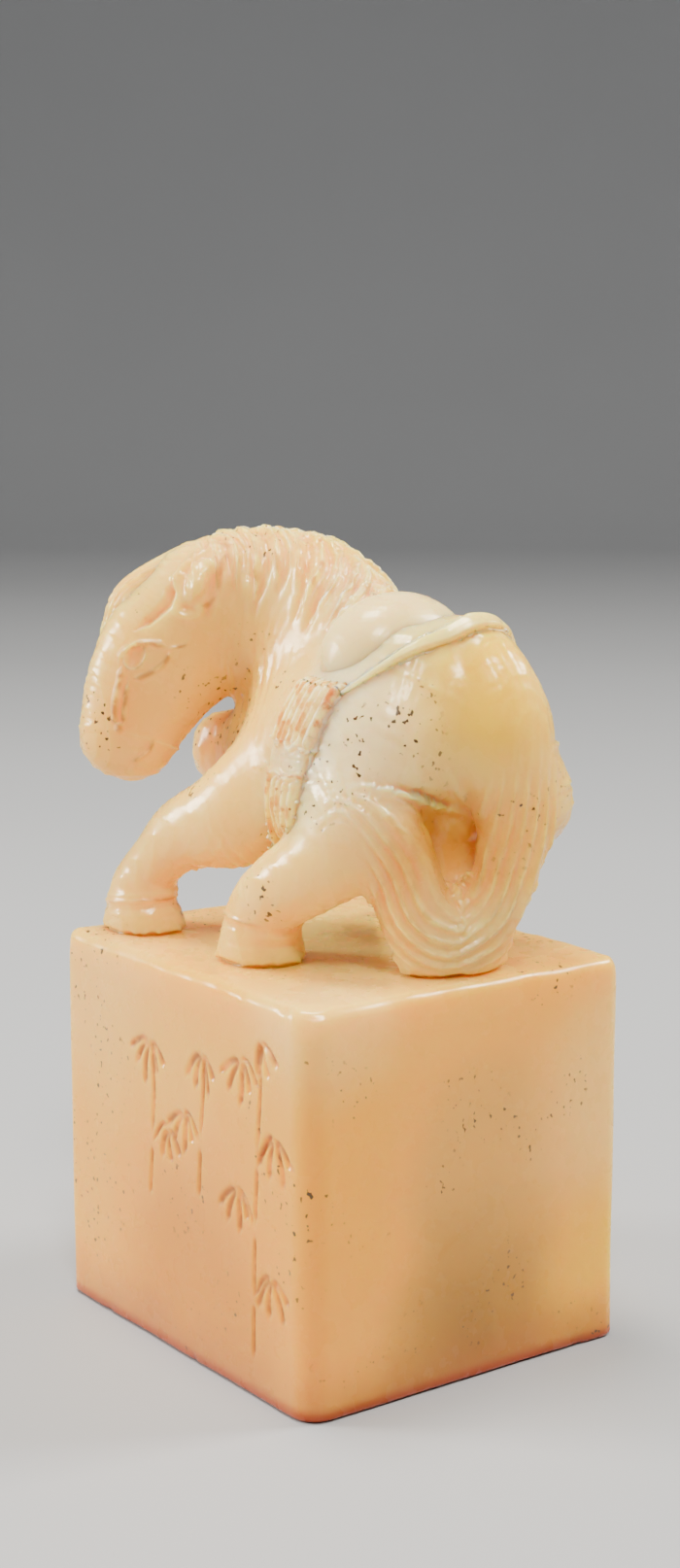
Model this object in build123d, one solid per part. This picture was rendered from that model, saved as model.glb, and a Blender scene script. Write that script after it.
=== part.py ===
"""A seal stamp carved from one block of soapstone: an upright block with a saddled, crouching horse on top.

The stone is one piece, and its forms are the ones that a carver would name. Each is a closed solid that meets
its neighbours face to face: a smaller form is cut by the larger ones that it grows out of.

Frame: the origin is at the middle of the seal face, +Z is up, the horse's head is towards -X and its left
flank towards -Y. Lengths are in millimetres.
"""
import os
from math import sqrt

from build123d import *

# The stone as a whole
BLOCK_LENGTH = 37.5
BLOCK_WIDTH = 33.0
BLOCK_HEIGHT = 34.0
HORSE_HEIGHT = 36.0

# The block's worn edges
NEAR_CORNER_ROUNDING = 2.4
CORNER_ROUNDING = 1.4
TOP_EDGE_ROUNDING = 0.8
FACE_EDGE_ROUNDING = 0.5

# The seal face: a raised rim and a four-petalled flower on a sunk ground
RELIEF_DEPTH = 0.8
RIM_WIDTH = 2.2
PETAL_BREADTH = 8.0
BOSS_DIAMETER = 9.0
VEIN_WIDTH = 0.9

# The fullest breadth and depth of each of the horse's forms
BARREL_BREADTH = 16.4
BARREL_DEPTH = 20.0
NECK_BREADTH = 9.6
NECK_DEPTH = 14.8
HEAD_BREADTH = 7.8
HEAD_DEPTH = 11.2
EAR_THICKNESS = 2.2
EAR_WIDTH = 3.2
MANE_BREADTH = 5.4
MANE_DEPTH = 4.4
FORELOCK_BREADTH = 5.2
FORELOCK_DEPTH = 4.2
FORELEG_BREADTH = 7.6
FORELEG_DEPTH = 9.6
SHANK_BREADTH = 4.4
SHANK_DEPTH = 4.8
THIGH_BREADTH = 10.8
THIGH_DEPTH = 14.0
HIND_LEG_BREADTH = 6.2
HIND_LEG_DEPTH = 7.6
HOOF_BREADTH = 7.4
HOOF_DEPTH = 8.6
TAIL_BREADTH = 6.4
TAIL_DEPTH = 4.8
SEAT_LENGTH = 7.6
SEAT_BREADTH = 12.8
SEAT_HEIGHT = 8.8

# The harness that is carved on the horse
CLOTH_THICKNESS = 0.7
CLOTH_LENGTH = 5.4
GIRTH_THICKNESS = 0.5
GIRTH_WIDTH = 3.8

OVERRUN = 2.0

# How a rounded end closes: how far past the last station, and how much of its section is left there
ROUND_END_SHARES = ((0.45, 0.893), (0.75, 0.661), (0.93, 0.368), (0.99, 0.14))

# Directions that a form's breadth lies along
BODY_SIDE = Vector(0.2, -1, 0)
NEAR_LEG_SIDE = Vector(0.35, -1, 0)
FAR_LEG_SIDE = Vector(0.05, -1, 0)
FACE_SIDE = Vector(0.8, -0.6, 0)
TAIL_SIDE = Vector(0.15, 1, 0)

# Stations along each form. Each row has the place along the block, across it and up the horse, as shares of
# half the block's length, half its width and the horse's height, and then the form's breadth and depth there,
# as shares of their fullest.
TRUNK_SHARES = (
    (-0.38, -0.10, 0.43, 0.49, 0.52),
    (-0.21, -0.05, 0.45, 0.73, 0.80),
    (0.00, 0.02, 0.46, 0.88, 0.92),
    (0.22, 0.10, 0.48, 0.94, 1.00),
    (0.40, 0.16, 0.51, 1.00, 0.98),
    (0.56, 0.23, 0.53, 0.89, 0.83),
    (0.66, 0.28, 0.54, 0.58, 0.56),
)
NECK_SHARES = (
    (0.27, 0.11, 0.65, 0.92, 0.73),
    (0.04, 0.10, 0.71, 1.00, 0.95),
    (-0.24, 0.04, 0.76, 0.96, 1.00),
    (-0.48, -0.10, 0.77, 0.88, 0.86),
    (-0.65, -0.25, 0.78, 0.75, 0.70),
)
HEAD_SHARES = (
    (-0.66, -0.33, 0.82, 0.82, 0.75),
    (-0.70, -0.42, 0.74, 1.00, 0.96),
    (-0.72, -0.52, 0.66, 1.00, 1.00),
    (-0.75, -0.61, 0.57, 0.82, 0.88),
    (-0.79, -0.70, 0.50, 0.72, 0.71),
    (-0.79, -0.73, 0.46, 0.64, 0.61),
)
LEFT_EAR_SHARES = (
    (-0.54, -0.62, 0.79, 0.80, 0.60),
    (-0.53, -0.50, 0.85, 1.00, 1.00),
    (-0.54, -0.36, 0.90, 0.60, 0.45),
)
RIGHT_EAR_SHARES = (
    (-0.82, -0.27, 0.79, 0.80, 0.60),
    (-0.77, -0.14, 0.84, 1.00, 1.00),
    (-0.70, -0.04, 0.88, 0.60, 0.45),
)
MANE_SHARES = (
    (0.30, 0.13, 0.76, 0.59, 0.73),
    (0.17, 0.13, 0.83, 0.81, 0.91),
    (-0.03, 0.08, 0.90, 0.96, 1.00),
    (-0.30, 0.01, 0.93, 1.00, 0.91),
    (-0.53, -0.15, 0.92, 0.93, 0.86),
    (-0.71, -0.33, 0.87, 0.85, 0.82),
)
FORELOCK_SHARES = (
    (-0.74, -0.35, 0.87, 0.92, 0.95),
    (-0.85, -0.55, 0.80, 1.00, 1.00),
    (-0.90, -0.65, 0.73, 0.77, 0.67),
)
LEFT_FORELEG_SHARES = (
    (0.11, -0.22, 0.51, 0.79, 1.00),
    (-0.09, -0.30, 0.42, 1.00, 0.96),
    (-0.27, -0.44, 0.32, 0.95, 0.77),
    (-0.42, -0.52, 0.28, 0.84, 0.71),
    (-0.54, -0.58, 0.25, 0.74, 0.62),
    (-0.65, -0.63, 0.19, 0.68, 0.56),
    (-0.74, -0.67, 0.12, 0.66, 0.54),
    (-0.77, -0.67, 0.06, 0.74, 0.58),
)
RIGHT_FOREARM_SHARES = (
    (-0.11, 0.25, 0.46, 0.95, 0.92),
    (-0.40, 0.06, 0.44, 0.84, 0.84),
    (-0.74, -0.17, 0.43, 0.58, 0.69),
)
RIGHT_SHANK_SHARES = (
    (-0.73, -0.17, 0.40, 0.95, 1.00),
    (-0.59, -0.06, 0.32, 0.91, 0.88),
    (-0.41, 0.06, 0.28, 0.90, 0.90),
)
LEFT_THIGH_SHARES = (
    (0.51, 0.01, 0.66, 0.78, 0.77),
    (0.47, -0.16, 0.53, 1.00, 1.00),
    (0.44, -0.28, 0.41, 0.85, 0.94),
    (0.51, -0.34, 0.32, 0.67, 0.71),
)
LEFT_HIND_LEG_SHARES = (
    (0.67, -0.32, 0.33, 0.77, 0.79),
    (0.55, -0.39, 0.30, 0.97, 1.00),
    (0.41, -0.47, 0.25, 1.00, 0.97),
    (0.21, -0.55, 0.18, 1.00, 0.89),
    (0.12, -0.56, 0.11, 0.97, 0.79),
)
RIGHT_THIGH_SHARES = (
    (0.51, 0.36, 0.65, 0.77, 0.77),
    (0.51, 0.48, 0.52, 0.81, 0.94),
    (0.51, 0.57, 0.41, 0.67, 0.77),
    (0.64, 0.58, 0.35, 0.56, 0.57),
)
RIGHT_HIND_LEG_SHARES = (
    (0.86, 0.56, 0.44, 0.65, 0.63),
    (0.81, 0.59, 0.36, 0.84, 0.84),
    (0.48, 0.63, 0.26, 0.87, 0.84),
    (0.11, 0.65, 0.17, 0.84, 0.79),
    (-0.13, 0.65, 0.09, 0.87, 0.74),
)
TAIL_SHARES = (
    (0.66, 0.28, 0.74, 0.44, 0.62),
    (0.82, 0.30, 0.69, 0.62, 0.75),
    (0.91, 0.32, 0.58, 0.81, 0.79),
    (0.93, 0.32, 0.44, 0.97, 0.79),
    (0.92, 0.30, 0.31, 1.00, 0.83),
    (0.87, 0.23, 0.19, 1.00, 0.92),
    (0.80, 0.07, 0.13, 1.00, 1.00),
    (0.76, -0.11, 0.18, 0.94, 1.00),
    (0.76, -0.22, 0.28, 0.87, 0.92),
    (0.70, -0.33, 0.37, 0.75, 0.83),
    (0.60, -0.44, 0.38, 0.62, 0.75),
    (0.51, -0.51, 0.34, 0.47, 0.58),
)
TAIL_FOOT_SHARES = (
    (0.82, 0.16, 0.16, 1.13, 0.92),
    (0.80, 0.12, 0.07, 1.22, 1.00),
    (0.77, 0.08, -0.02, 1.28, 1.04),
)
TAIL_PILLAR_SHARES = (
    (0.63, -0.38, 0.35, 0.75, 0.92),
    (0.68, -0.29, 0.21, 0.84, 1.00),
    (0.71, -0.17, 0.08, 0.91, 1.04),
    (0.74, -0.08, -0.02, 1.03, 1.08),
)

# Each hoof: its place on the plate along and across the block, its height up the horse, and its size
HOOF_TOP_SHARE = 0.09
HOOF_FLARE_SHARE = 0.78
LEFT_FORE_HOOF_SHARES = (-0.73, -0.67, 1.00)
LEFT_HIND_HOOF_SHARES = (0.10, -0.56, 1.00)
RIGHT_HIND_HOOF_SHARES = (-0.17, 0.65, 0.90)
RAISED_HOOF_SHARES = (
    (-0.46, 0.02, 0.29, 0.60, 0.58),
    (-0.33, 0.10, 0.26, 0.70, 0.64),
)

# The seat's middle, and how the cloth and the girth lie: each leans back from the upright by its slope
SEAT_SHARES = (0.31, 0.10, 0.747)
CLOTH_REAR_SHARES = (0.78, 0.80)
CLOTH_SLOPE = 1.1
CLOTH_LOWEST_SHARE = 0.58
GIRTH_MIDDLE_SHARES = (0.28, 0.50)
GIRTH_SLOPE = 0.22
GIRTH_HIGHEST_SHARE = 0.66


def place(along, across, up):
    """A point of the horse from its shares."""
    return Vector(along * BLOCK_LENGTH / 2, across * BLOCK_WIDTH / 2, BLOCK_HEIGHT + up * HORSE_HEIGHT)


def oval(at, heading, side, breadth, depth):
    """An oval section, square to its heading, with its breadth along the side."""
    flat_side = side - heading * side.dot(heading)
    return Plane(origin=at, x_dir=flat_side, z_dir=heading) * Ellipse(breadth / 2, depth / 2)


def round_end(at, heading, side, size, way):
    """The shrinking sections that close a form, from its last station outwards. The way is 1 or -1."""
    breadth, depth = size
    reach = way * sqrt(breadth * depth) / 2
    return [
        oval(at + heading * (reach * out_share), heading, side, breadth * left_share, depth * left_share)
        for out_share, left_share in ROUND_END_SHARES
    ]


def form(shares, breadth, depth, side, end_side=None, round_start=False, round_tip=False, skin=0):
    """A solid through oval sections at the stations, thicker all round by the skin."""
    points = [place(*row[:3]) for row in shares]
    last = len(shares) - 1
    sections = []
    for i, row in enumerate(shares):
        heading = (points[min(i + 1, last)] - points[max(i - 1, 0)]).normalized()
        turned = side.normalized() * (last - i) + (end_side or side).normalized() * i
        size = (breadth * row[3] + 2 * skin, depth * row[4] + 2 * skin)
        if i == 0 and round_start:
            sections += reversed(round_end(points[i], heading, turned, size, -1))
        sections.append(oval(points[i], heading, turned, *size))
        if i == last and round_tip:
            sections += round_end(points[i], heading, turned, size, 1)
    return loft(sections, ruled=True)


def trunk(skin=0):
    """The barrel, from the chest to the rump."""
    return form(TRUNK_SHARES, BARREL_BREADTH, BARREL_DEPTH, BODY_SIDE, None, True, True, skin)


def neck(skin=0):
    """The arched neck, which turns to the left at the poll."""
    return form(NECK_SHARES, NECK_BREADTH, NECK_DEPTH, BODY_SIDE, FACE_SIDE, skin=skin)


def head():
    """The hanging head, seen from its side in the turn."""
    return form(HEAD_SHARES, HEAD_BREADTH, HEAD_DEPTH, FACE_SIDE, None, True, True)


def ear(shares):
    """A leaf-shaped ear, laid back against the neck."""
    return form(shares, EAR_THICKNESS, EAR_WIDTH, FACE_SIDE, None, True, True)


def mane():
    """The thick crest of hair from the withers to the poll."""
    return form(MANE_SHARES, MANE_BREADTH, MANE_DEPTH, BODY_SIDE, FACE_SIDE, True, True)


def forelock():
    """The lock of hair that falls over the forehead."""
    return form(FORELOCK_SHARES, FORELOCK_BREADTH, FORELOCK_DEPTH, FACE_SIDE, None, True, True)


def left_foreleg():
    """The near foreleg: a level forearm and a short shank down to the hoof."""
    return form(LEFT_FORELEG_SHARES, FORELEG_BREADTH, FORELEG_DEPTH, NEAR_LEG_SIDE)


def right_foreleg():
    """The far foreleg, raised and folded under the chest."""
    forearm = form(RIGHT_FOREARM_SHARES, FORELEG_BREADTH, FORELEG_DEPTH, NEAR_LEG_SIDE, round_tip=True)
    shank = form(RIGHT_SHANK_SHARES, SHANK_BREADTH, SHANK_DEPTH, NEAR_LEG_SIDE, None, True, True)
    return forearm + shank


def left_thigh(skin=0):
    """The near haunch."""
    return form(LEFT_THIGH_SHARES, THIGH_BREADTH, THIGH_DEPTH, BODY_SIDE, None, True, True, skin)


def right_thigh(skin=0):
    """The far haunch."""
    return form(RIGHT_THIGH_SHARES, THIGH_BREADTH, THIGH_DEPTH, BODY_SIDE, None, True, True, skin)


def left_hind_leg():
    """The near hind leg, folded: a haunch, then a shank that runs forward and down."""
    return left_thigh() + form(
        LEFT_HIND_LEG_SHARES, HIND_LEG_BREADTH, HIND_LEG_DEPTH, NEAR_LEG_SIDE, round_start=True
    )


def right_hind_leg():
    """The far hind leg, with its hock standing out behind."""
    return right_thigh() + form(
        RIGHT_HIND_LEG_SHARES, HIND_LEG_BREADTH, HIND_LEG_DEPTH, FAR_LEG_SIDE, round_start=True
    )


def hoof(shares):
    """A standing hoof that flares down to the plate, and on into it by an overrun."""
    along, across, size = shares
    foot = place(along, across, 0)
    top = place(along, across, HOOF_TOP_SHARE)
    down = Vector(0, 0, -1)
    breadth, depth = HOOF_BREADTH * size, HOOF_DEPTH * size
    return loft([
        oval(top, down, NEAR_LEG_SIDE, breadth * HOOF_FLARE_SHARE, depth * HOOF_FLARE_SHARE),
        oval(foot + down * OVERRUN, down, NEAR_LEG_SIDE, breadth, depth),
    ])


def raised_hoof():
    """The hoof of the folded foreleg, tucked under the chest."""
    return form(RAISED_HOOF_SHARES, HOOF_BREADTH, HOOF_DEPTH, NEAR_LEG_SIDE, None, True, True)


def tail():
    """The tail: down behind the rump, round a turn on the plate and up to its curled tip."""
    plume = form(TAIL_SHARES, TAIL_BREADTH, TAIL_DEPTH, Vector(0, 1, 0), None, True, True)
    foot = form(TAIL_FOOT_SHARES, TAIL_BREADTH, TAIL_DEPTH, TAIL_SIDE)
    pillar = form(TAIL_PILLAR_SHARES, TAIL_BREADTH, TAIL_DEPTH, TAIL_SIDE, round_start=True)
    return plume + foot + pillar


def saddle_seat():
    """The saddle's seat, a smooth pillow across the back."""
    pillow = scale(Sphere(1), by=(SEAT_LENGTH / 2, SEAT_BREADTH / 2, SEAT_HEIGHT / 2))
    return Pos(place(*SEAT_SHARES)) * pillow


def leaning_slab(middle, slope, length):
    """A slab right across the horse that leans with the slope, as thick as the length, square to itself."""
    normal = Vector(1, 0, -slope).normalized()
    reach = BLOCK_LENGTH + BLOCK_WIDTH + HORSE_HEIGHT
    return Plane(origin=middle, x_dir=Vector(0, 1, 0), z_dir=normal) * Box(reach, reach, length)


def band_between(low_share, high_share):
    """All the room between two heights of the horse."""
    reach = BLOCK_LENGTH + BLOCK_WIDTH
    low, high = place(0, 0, low_share), place(0, 0, high_share)
    return Pos((low + high) * 0.5) * Box(reach, reach, (high - low).Z)


def saddle_cloth():
    """The saddle cloth: a skin over the back, up to its raised rear border."""
    rear = place(CLOTH_REAR_SHARES[0], 0, CLOTH_REAR_SHARES[1])
    normal = Vector(1, 0, -CLOTH_SLOPE).normalized()
    middle = rear - normal * (CLOTH_LENGTH / 2)
    room = leaning_slab(middle, CLOTH_SLOPE, CLOTH_LENGTH) & band_between(CLOTH_LOWEST_SHARE, 1)
    covered = (trunk, neck, left_thigh, right_thigh)
    return sum((part(CLOTH_THICKNESS) & room for part in covered), start=Part())


def girth_strap():
    """The girth: a skin round the barrel, behind the near foreleg."""
    middle = place(GIRTH_MIDDLE_SHARES[0], 0, GIRTH_MIDDLE_SHARES[1])
    slab = leaning_slab(middle, GIRTH_SLOPE, GIRTH_WIDTH)
    return trunk(GIRTH_THICKNESS) & (slab & band_between(0, GIRTH_HIGHEST_SHARE))


def seal_flower():
    """Four petals that reach the rim, and a boss where they meet."""
    reach = sqrt((BLOCK_LENGTH - RIM_WIDTH) ** 2 + (BLOCK_WIDTH - RIM_WIDTH) ** 2) / 2
    petal = Ellipse(reach / 2, PETAL_BREADTH / 2)
    vein = Rectangle(reach, VEIN_WIDTH)
    flower = Circle(BOSS_DIAMETER / 2)
    heading = Vector(BLOCK_LENGTH, BLOCK_WIDTH, 0).get_angle(Vector(1, 0, 0))
    for turn in (heading, 180 - heading, 180 + heading, -heading):
        flower += Rot(0, 0, turn) * Pos(reach / 2, 0, 0) * (petal - Pos(BOSS_DIAMETER / 2, 0, 0) * vein)
    return flower


def seal_block():
    """The upright block, with worn edges and a carved face."""
    block = Pos(0, 0, BLOCK_HEIGHT / 2) * Box(BLOCK_LENGTH, BLOCK_WIDTH, BLOCK_HEIGHT)
    corners = block.edges().filter_by(Axis.Z)
    near = corners.sort_by(lambda edge: edge.center().X - edge.center().Y)[-1]
    block = fillet([near], NEAR_CORNER_ROUNDING)
    others = block.edges().filter_by(Axis.Z).filter_by(lambda edge: edge.center().X * edge.center().Y > 0)
    far = block.edges().filter_by(Axis.Z).sort_by(lambda edge: edge.center().X - edge.center().Y)[0]
    block = fillet([*others, far], CORNER_ROUNDING)
    block = fillet(block.faces().sort_by(Axis.Z)[-1].edges(), TOP_EDGE_ROUNDING)
    block = fillet(block.faces().sort_by(Axis.Z)[0].edges(), FACE_EDGE_ROUNDING)
    ground = Rectangle(BLOCK_LENGTH - 2 * RIM_WIDTH, BLOCK_WIDTH - 2 * RIM_WIDTH) - seal_flower()
    return block - extrude(ground, amount=RELIEF_DEPTH)


def build():
    """Every form, largest first: each is cut by those before it."""
    forms = {
        "seal_block": seal_block(),
        "horse_trunk": trunk(),
        "left_hind_leg": left_hind_leg(),
        "right_hind_leg": right_hind_leg(),
        "horse_neck": neck(),
        "horse_head": head(),
        "left_foreleg": left_foreleg(),
        "right_foreleg": right_foreleg(),
        "left_fore_hoof": hoof(LEFT_FORE_HOOF_SHARES),
        "left_hind_hoof": hoof(LEFT_HIND_HOOF_SHARES),
        "right_hind_hoof": hoof(RIGHT_HIND_HOOF_SHARES),
        "right_fore_hoof": raised_hoof(),
        "tail": tail(),
        "mane": mane(),
        "forelock": forelock(),
        "left_ear": ear(LEFT_EAR_SHARES),
        "right_ear": ear(RIGHT_EAR_SHARES),
        "saddle_seat": saddle_seat(),
        "saddle_cloth": saddle_cloth(),
        "girth_strap": girth_strap(),
    }
    return forms


def boxes_meet(one, other):
    """Whether the boxes round two solids touch."""
    a, b = one.bounding_box(), other.bounding_box()
    return (
        a.min.X <= b.max.X and b.min.X <= a.max.X
        and a.min.Y <= b.max.Y and b.min.Y <= a.max.Y
        and a.min.Z <= b.max.Z and b.min.Z <= a.max.Z
    )


def cut_by_neighbours(forms):
    """Cuts each form by the ones before it, and keeps its main solid."""
    made = {}
    for name, solid in forms.items():
        for other in made.values():
            if boxes_meet(solid, other):
                solid -= other
        made[name] = max(solid.solids(), key=lambda piece: piece.volume)
    return made


os.makedirs("parts", exist_ok=True)
for name, solid in cut_by_neighbours(build()).items():
    solid.label = name
    export_step(solid, "parts/" + name + ".step")
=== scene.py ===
"""The looks of a soapstone seal: a pale, waxy, translucent block with a saddled, crouching horse on top.

Lengths here are in millimetres, in the part's own frame, and each mesh is scaled to metres as it is made.
Places on the horse are shares of half the block's length, half its width and the horse's height.
"""

from math import cos, pi, radians, sin

import bmesh
import bpy
import numpy as np
import openvdb
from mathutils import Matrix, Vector


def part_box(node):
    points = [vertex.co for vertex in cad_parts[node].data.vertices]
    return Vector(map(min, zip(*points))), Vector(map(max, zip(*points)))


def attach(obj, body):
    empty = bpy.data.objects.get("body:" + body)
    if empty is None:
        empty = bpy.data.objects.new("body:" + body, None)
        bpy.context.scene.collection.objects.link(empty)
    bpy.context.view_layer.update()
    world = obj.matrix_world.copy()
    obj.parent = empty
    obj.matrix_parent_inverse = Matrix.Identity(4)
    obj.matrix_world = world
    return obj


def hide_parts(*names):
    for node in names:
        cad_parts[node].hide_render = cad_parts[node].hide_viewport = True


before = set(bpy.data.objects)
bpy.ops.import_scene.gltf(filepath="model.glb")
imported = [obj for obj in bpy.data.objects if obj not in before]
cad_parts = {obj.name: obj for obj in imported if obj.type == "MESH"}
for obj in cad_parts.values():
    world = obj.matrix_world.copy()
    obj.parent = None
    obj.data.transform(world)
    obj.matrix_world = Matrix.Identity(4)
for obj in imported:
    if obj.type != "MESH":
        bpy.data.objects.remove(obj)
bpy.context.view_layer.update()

MM = 0.001

# The block's far upper corner gives its half sizes and the plate's height
block_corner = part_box("seal_block")[1]
HALF_LENGTH = block_corner.x / MM
HALF_WIDTH = block_corner.y / MM
PLATE = block_corner.z / MM
HORSE_HEIGHT = 36.0

# The photograph's camera, in metres and degrees
CAMERA_PLACE = (0.16795, -0.12285, 0.0836)
CAMERA_AZIMUTH = 53.73
CAMERA_ELEVATION = 9.80
CAMERA_LENS = 56.48

# The fullest breadth and depth of each form of the horse, and the seat's half sizes, place and turn
BARREL = (16.4, 20.0)
NECK_SIZE = (9.6, 14.8)
HEAD_SIZE = (7.8, 11.2)
EAR_SIZE = (2.2, 3.4)
MANE_SIZE = (5.4, 4.4)
FORELOCK_SIZE = (5.2, 4.2)
FORELEG_SIZE = (7.6, 9.6)
SHANK_SIZE = (4.4, 4.8)
THIGH_SIZE = (10.8, 14.0)
HIND_LEG_SIZE = (6.2, 7.6)
HOOF_SIZE = (7.6, 8.6)
TAIL_SIZE = (6.4, 4.8)
SEAT_RADII = (4.9, 6.9, 5.7)
SEAT_SHARES = (0.365, 0.073, 0.694)
SEAT_YAW = -5

# Mesh fineness: the grid that a form is first found on, before it is divided
BODY_STEP = 0.6
HARNESS_STEP = 0.3
SEAT_STEP = HARNESS_STEP * 1.3

# The room that each form is looked for in
HORSE_ROOM = ((-22, -19, 31.6), (23, 18, 71.5))
FORELOCK_ROOM = ((-20.8, -15.5, 57), (-10, -1, 69))
SEAT_ROOM = ((-1, -8, 54), (13, 11, 67))
CLOTH_ROOM = ((-2, -13, 53.5), (20, 17, 68))
GIRTH_ROOM = ((-1, -13, 42.5), (12, 13, 60))

# Directions that a form's breadth lies along, and the ways that the tail's band faces
BODY_SIDE = (0.2, -1, 0)
NEAR_LEG_SIDE = (0.35, -1, 0)
FAR_LEG_SIDE = (0.05, -1, 0)
FACE_SIDE = (0.8, -0.6, 0)
TAIL_FOOT_SIDE = (0.15, 1, 0)
TAIL_FACES = (1, 0.1, 0)
TAIL_END_FACES = (0.15, -1, 0)


def place(along, across, up):
    """A point of the horse from its shares."""
    return np.array([along * HALF_LENGTH, across * HALF_WIDTH, PLATE + up * HORSE_HEIGHT])


def unit(v):
    """Each vector at length one."""
    v = np.asarray(v, float)
    return v / np.linalg.norm(v, axis=-1, keepdims=True)


def ramp(x, start, end):
    """0 up to the start, 1 from the end on, and an even curve between."""
    t = np.clip((x - start) / (end - start), 0, 1)
    return t * t * (3 - 2 * t)


def valley(distance, width):
    """1 on a line, and 0 from its width on."""
    return np.clip(1 - (distance / width) ** 2, 0, 1) ** 2


def smooth_path(rows, steps):
    """A smooth curve through the rows of a table, with so many steps between two rows."""
    p = np.asarray(rows, float)
    p = np.vstack([2 * p[0] - p[1], p, 2 * p[-1] - p[-2]])
    made = []
    for i in range(1, len(p) - 2):
        a, b, c, d = p[i - 1], p[i], p[i + 1], p[i + 2]
        for t in np.arange(steps) / steps:
            straight = 2 * b + (c - a) * t
            bent = (2 * a - 5 * b + 4 * c - d) * t**2
            twisted = (3 * b - a - 3 * c + d) * t**3
            made.append((straight + bent + twisted) / 2)
    made.append(p[-2])
    return np.array(made)


def ripple(p, size, seed):
    """Smooth waves of about that size, from -1 to 1."""
    draw = np.random.default_rng(seed)
    total = np.zeros(len(p))
    waves = 6
    for _ in range(waves):
        heading = unit(draw.normal(size=3)) * 2 * pi / size * draw.uniform(0.6, 1.5)
        total += np.sin(p @ heading + draw.uniform(0, 2 * pi))
    return total / waves


def from_oval(offset, size, core):
    """Distance from an oval of those half sizes, less than nothing inside, and -core at its middle."""
    near = np.linalg.norm(offset / size, axis=1)
    slope = np.linalg.norm(offset / size**2, axis=1) + 1e-9
    return np.where(near < 1e-6, -core, near * (near - 1) / slope)


class Limb:
    """A tube of oval section along a smooth path, with rounded ends.

    Its breadth lies along the side given, or across the way that its band faces. Each station is the place,
    then the breadth and depth there as shares of the fullest.
    """

    REACH = 3.5
    MARGIN = 0.5
    PATH_STEPS = 5
    LEAST_RADIUS = 0.15
    CHUNK = 60000

    def __init__(self, size, side, *stations, end_side=None, faces=False):
        rows = [(*place(*row[:3]), row[3] * size[0] / 2, row[4] * size[1] / 2) for row in stations]
        path = smooth_path(rows, self.PATH_STEPS)
        self.middle = path[:, :3]
        self.radii = np.maximum(path[:, 3:], self.LEAST_RADIUS)
        self.heading = unit(np.gradient(self.middle, axis=0))
        share = np.linspace(0, 1, len(path))[:, None]
        turned = (1 - share) * np.asarray(side, float) + share * np.asarray(end_side or side, float)
        if faces:
            self.side = unit(np.cross(self.heading, turned))
        else:
            self.side = unit(turned - (turned * self.heading).sum(1, keepdims=True) * self.heading)
        self.deep = np.cross(self.heading, self.side)
        self.length = np.r_[0, np.cumsum(np.linalg.norm(np.diff(self.middle, axis=0), axis=1))]
        widest = self.radii.max()
        self.low = self.middle.min(0) - widest
        self.high = self.middle.max(0) + widest

    def nearest(self, p):
        """The path's sample nearest to each point."""
        found = np.empty(len(p), int)
        square = (self.middle**2).sum(1)
        for a in range(0, len(p), self.CHUNK):
            q = p[a:a + self.CHUNK]
            found[a:a + self.CHUNK] = (square - 2 * q @ self.middle.T).argmin(1)
        return found

    def coords(self, p):
        """Length along the path, offsets along the side and deep, overshoot past an end, and radii."""
        j = self.nearest(p)
        ahead = ((p - self.middle[j]) * self.heading[j]).sum(1)
        i = np.clip(np.where(ahead < 0, j - 1, j), 0, len(self.middle) - 2)
        step = self.middle[i + 1] - self.middle[i]
        share = np.clip(((p - self.middle[i]) * step).sum(1) / (step**2).sum(1), 0, 1)[:, None]

        def between(values):
            """The values at each point's own place between two samples."""
            return values[i] * (1 - share) + values[i + 1] * share

        q = p - between(self.middle)
        along = self.length[i] + share[:, 0] * (self.length[i + 1] - self.length[i])
        across = (q * between(self.side)).sum(1)
        deep = (q * between(self.deep)).sum(1)
        over = (q * between(self.heading)).sum(1)
        return along, across, deep, over, between(self.radii)

    def skin(self, p):
        """Distance from the tube's skin, less than nothing inside."""
        _, across, deep, over, radii = self.coords(p)
        offset = np.c_[across, deep, over]
        size = np.c_[radii, np.sqrt(radii[:, 0] * radii[:, 1])]
        return from_oval(offset, size, size[:, 2])

    def __call__(self, p):
        """The same distance, only rough further off than the reach."""
        apart = np.maximum(np.maximum(self.low - p, p - self.high), 0)
        found = np.sqrt((apart**2).sum(1)) + self.MARGIN
        close = found < self.REACH
        if close.any():
            found[close] = self.skin(p[close])
        return found


def pillow(p, middle, radii, yaw):
    """Distance from an ellipsoid that is turned about Z by the yaw, in degrees."""
    q = p - middle
    turn = radians(yaw)
    x = q[:, 0] * cos(turn) + q[:, 1] * sin(turn)
    y = q[:, 1] * cos(turn) - q[:, 0] * sin(turn)
    size = np.asarray(radii, float)
    return from_oval(np.c_[x, y, q[:, 2]], size, size.min())


def join(a, b, fillet):
    """Two forms as one, with a fillet between them."""
    share = np.clip(0.5 + 0.5 * (b - a) / fillet, 0, 1)
    return b * (1 - share) + a * share - fillet * share * (1 - share)


def carve(a, b, fillet):
    """The first form less the second."""
    return -join(-a, b, fillet)


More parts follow.
